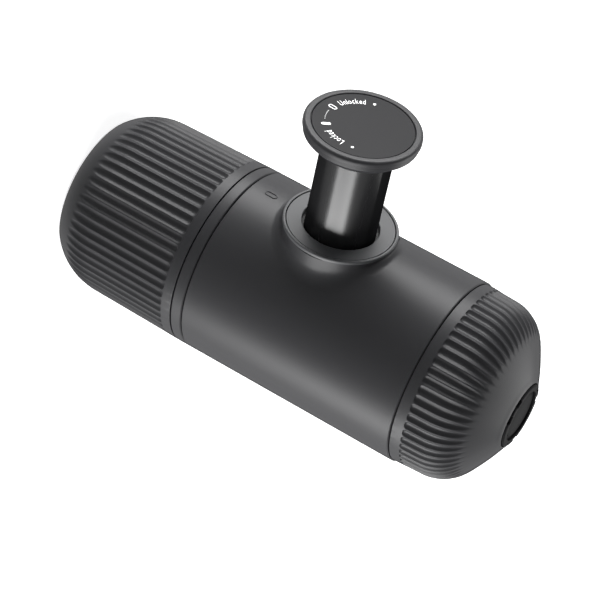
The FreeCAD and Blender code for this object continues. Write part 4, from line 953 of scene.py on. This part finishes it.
def seen_rays(tree):
    """1 for a ray that sees the background: from the camera, off a gloss or through glass."""
    rays = tree.nodes.new("ShaderNodeLightPath")
    seen = rays.outputs["Is Camera Ray"]
    for name in ("Is Glossy Ray", "Is Transmission Ray"):
        either = tree.nodes.new("ShaderNodeMath")
        either.operation = "MAXIMUM"
        tree.links.new(seen, either.inputs[0])
        tree.links.new(rays.outputs[name], either.inputs[1])
        seen = either.outputs[0]
    return seen


def seen_mix(tree, unseen, seen):
    """One shader for the rays that see the background, and the other for the rays that light."""
    mix = tree.nodes.new("ShaderNodeMixShader")
    tree.links.new(seen_rays(tree), mix.inputs[0])
    tree.links.new(unseen.outputs[0], mix.inputs[1])
    tree.links.new(seen.outputs[0], mix.inputs[2])
    return mix


SURROUND_COLOUR = (0.92, 0.96, 1.0)
SURROUND_STRENGTH = 0.20


def make_world():
    """White behind the object, and a soft grey surround that lights it."""
    world = bpy.data.worlds.new("studio")
    bpy.context.scene.world = world
    world.use_nodes = True
    tree = world.node_tree
    tree.nodes.clear()
    out = tree.nodes.new("ShaderNodeOutputWorld")
    surround = tree.nodes.new("ShaderNodeBackground")
    surround.inputs["Color"].default_value = (*SURROUND_COLOUR, 1)
    surround.inputs["Strength"].default_value = SURROUND_STRENGTH
    behind = tree.nodes.new("ShaderNodeBackground")
    behind.inputs["Color"].default_value = (1, 1, 1, 1)
    behind.inputs["Strength"].default_value = 1.0
    tree.links.new(seen_mix(tree, surround, behind).outputs[0], out.inputs["Surface"])


FLOOR_REACH = 3.0
FLOOR_LEVEL = -0.0004          # just under the cup's base
FLOOR_TONE = 0.82
FLOOR_GLOW_SPAN = (0.1, 0.6)   # distances from the object between which the glow grows
FLOOR_GLOW_NEAR = 0.70         # lets the object's shadow show
FLOOR_GLOW_FAR = 0.85


def floor_material():
    """Pale and matt, with a glow that only the rays see that see the background."""
    material = plastic("floor_pale", (FLOOR_TONE,) * 3, 0.9, 0.1)
    tree = material.node_tree
    place = tree.nodes.new("ShaderNodeTexCoord")
    distance = tree.nodes.new("ShaderNodeVectorMath")
    distance.operation = "LENGTH"
    tree.links.new(place.outputs["Object"], distance.inputs[0])
    strength = mapped(
        tree, distance.outputs["Value"], *FLOOR_GLOW_SPAN, FLOOR_GLOW_NEAR, FLOOR_GLOW_FAR
    )
    glow = tree.nodes.new("ShaderNodeEmission")
    tree.links.new(strength, glow.inputs["Strength"])
    dark = tree.nodes.new("ShaderNodeEmission")
    dark.inputs["Strength"].default_value = 0.0
    total = tree.nodes.new("ShaderNodeAddShader")
    tree.links.new(tree.nodes["Principled BSDF"].outputs[0], total.inputs[0])
    tree.links.new(seen_mix(tree, dark, glow).outputs[0], total.inputs[1])
    tree.links.new(total.outputs[0], tree.nodes["Material Output"].inputs["Surface"])
    return material


def make_floor():
    """A pale floor that is white where it is lit and keeps the object's soft shadow."""
    mesh = bpy.data.meshes.new("floor")
    corners = ((-1, -1), (1, -1), (1, 1), (-1, 1))
    verts = [(x * FLOOR_REACH, y * FLOOR_REACH, 0) for x, y in corners]
    mesh.from_pydata(verts, [], [(0, 1, 2, 3)])
    mesh.materials.append(floor_material())
    floor = bpy.data.objects.new("floor", mesh)
    floor.location.z = FLOOR_LEVEL
    bpy.context.scene.collection.objects.link(floor)
    # The floor isn't mirrored in the object and doesn't hold back the light of the lamp that stands
    # lower than it, so the object is lit as if it were held up.
    floor.visible_glossy = False
    floor.visible_shadow = False
    # The cup stands on the floor at every pose, and the rest is lifted off it.
    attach(floor, "drinking_cup")


dress_cad_nodes()
make_cup()
make_head()
make_cover()
make_tube()
make_pad()
make_pad_disc()
make_return_spring()
make_collar_ring()
make_lip_painted_highlight()
make_pad_marks()
make_barrel_mark()
make_thread("tank_thread", "tank", "shell", SHELL, TANK_NECK, 1)
make_thread("holder_thread", "head", "chassis", CHASSIS, HOLDER_NECK, -1)
make_camera()
make_world()
make_floor()
for settings in SOFT_BOXES:
    soft_box(*settings)
bpy.context.scene.view_settings.view_transform = "Standard"
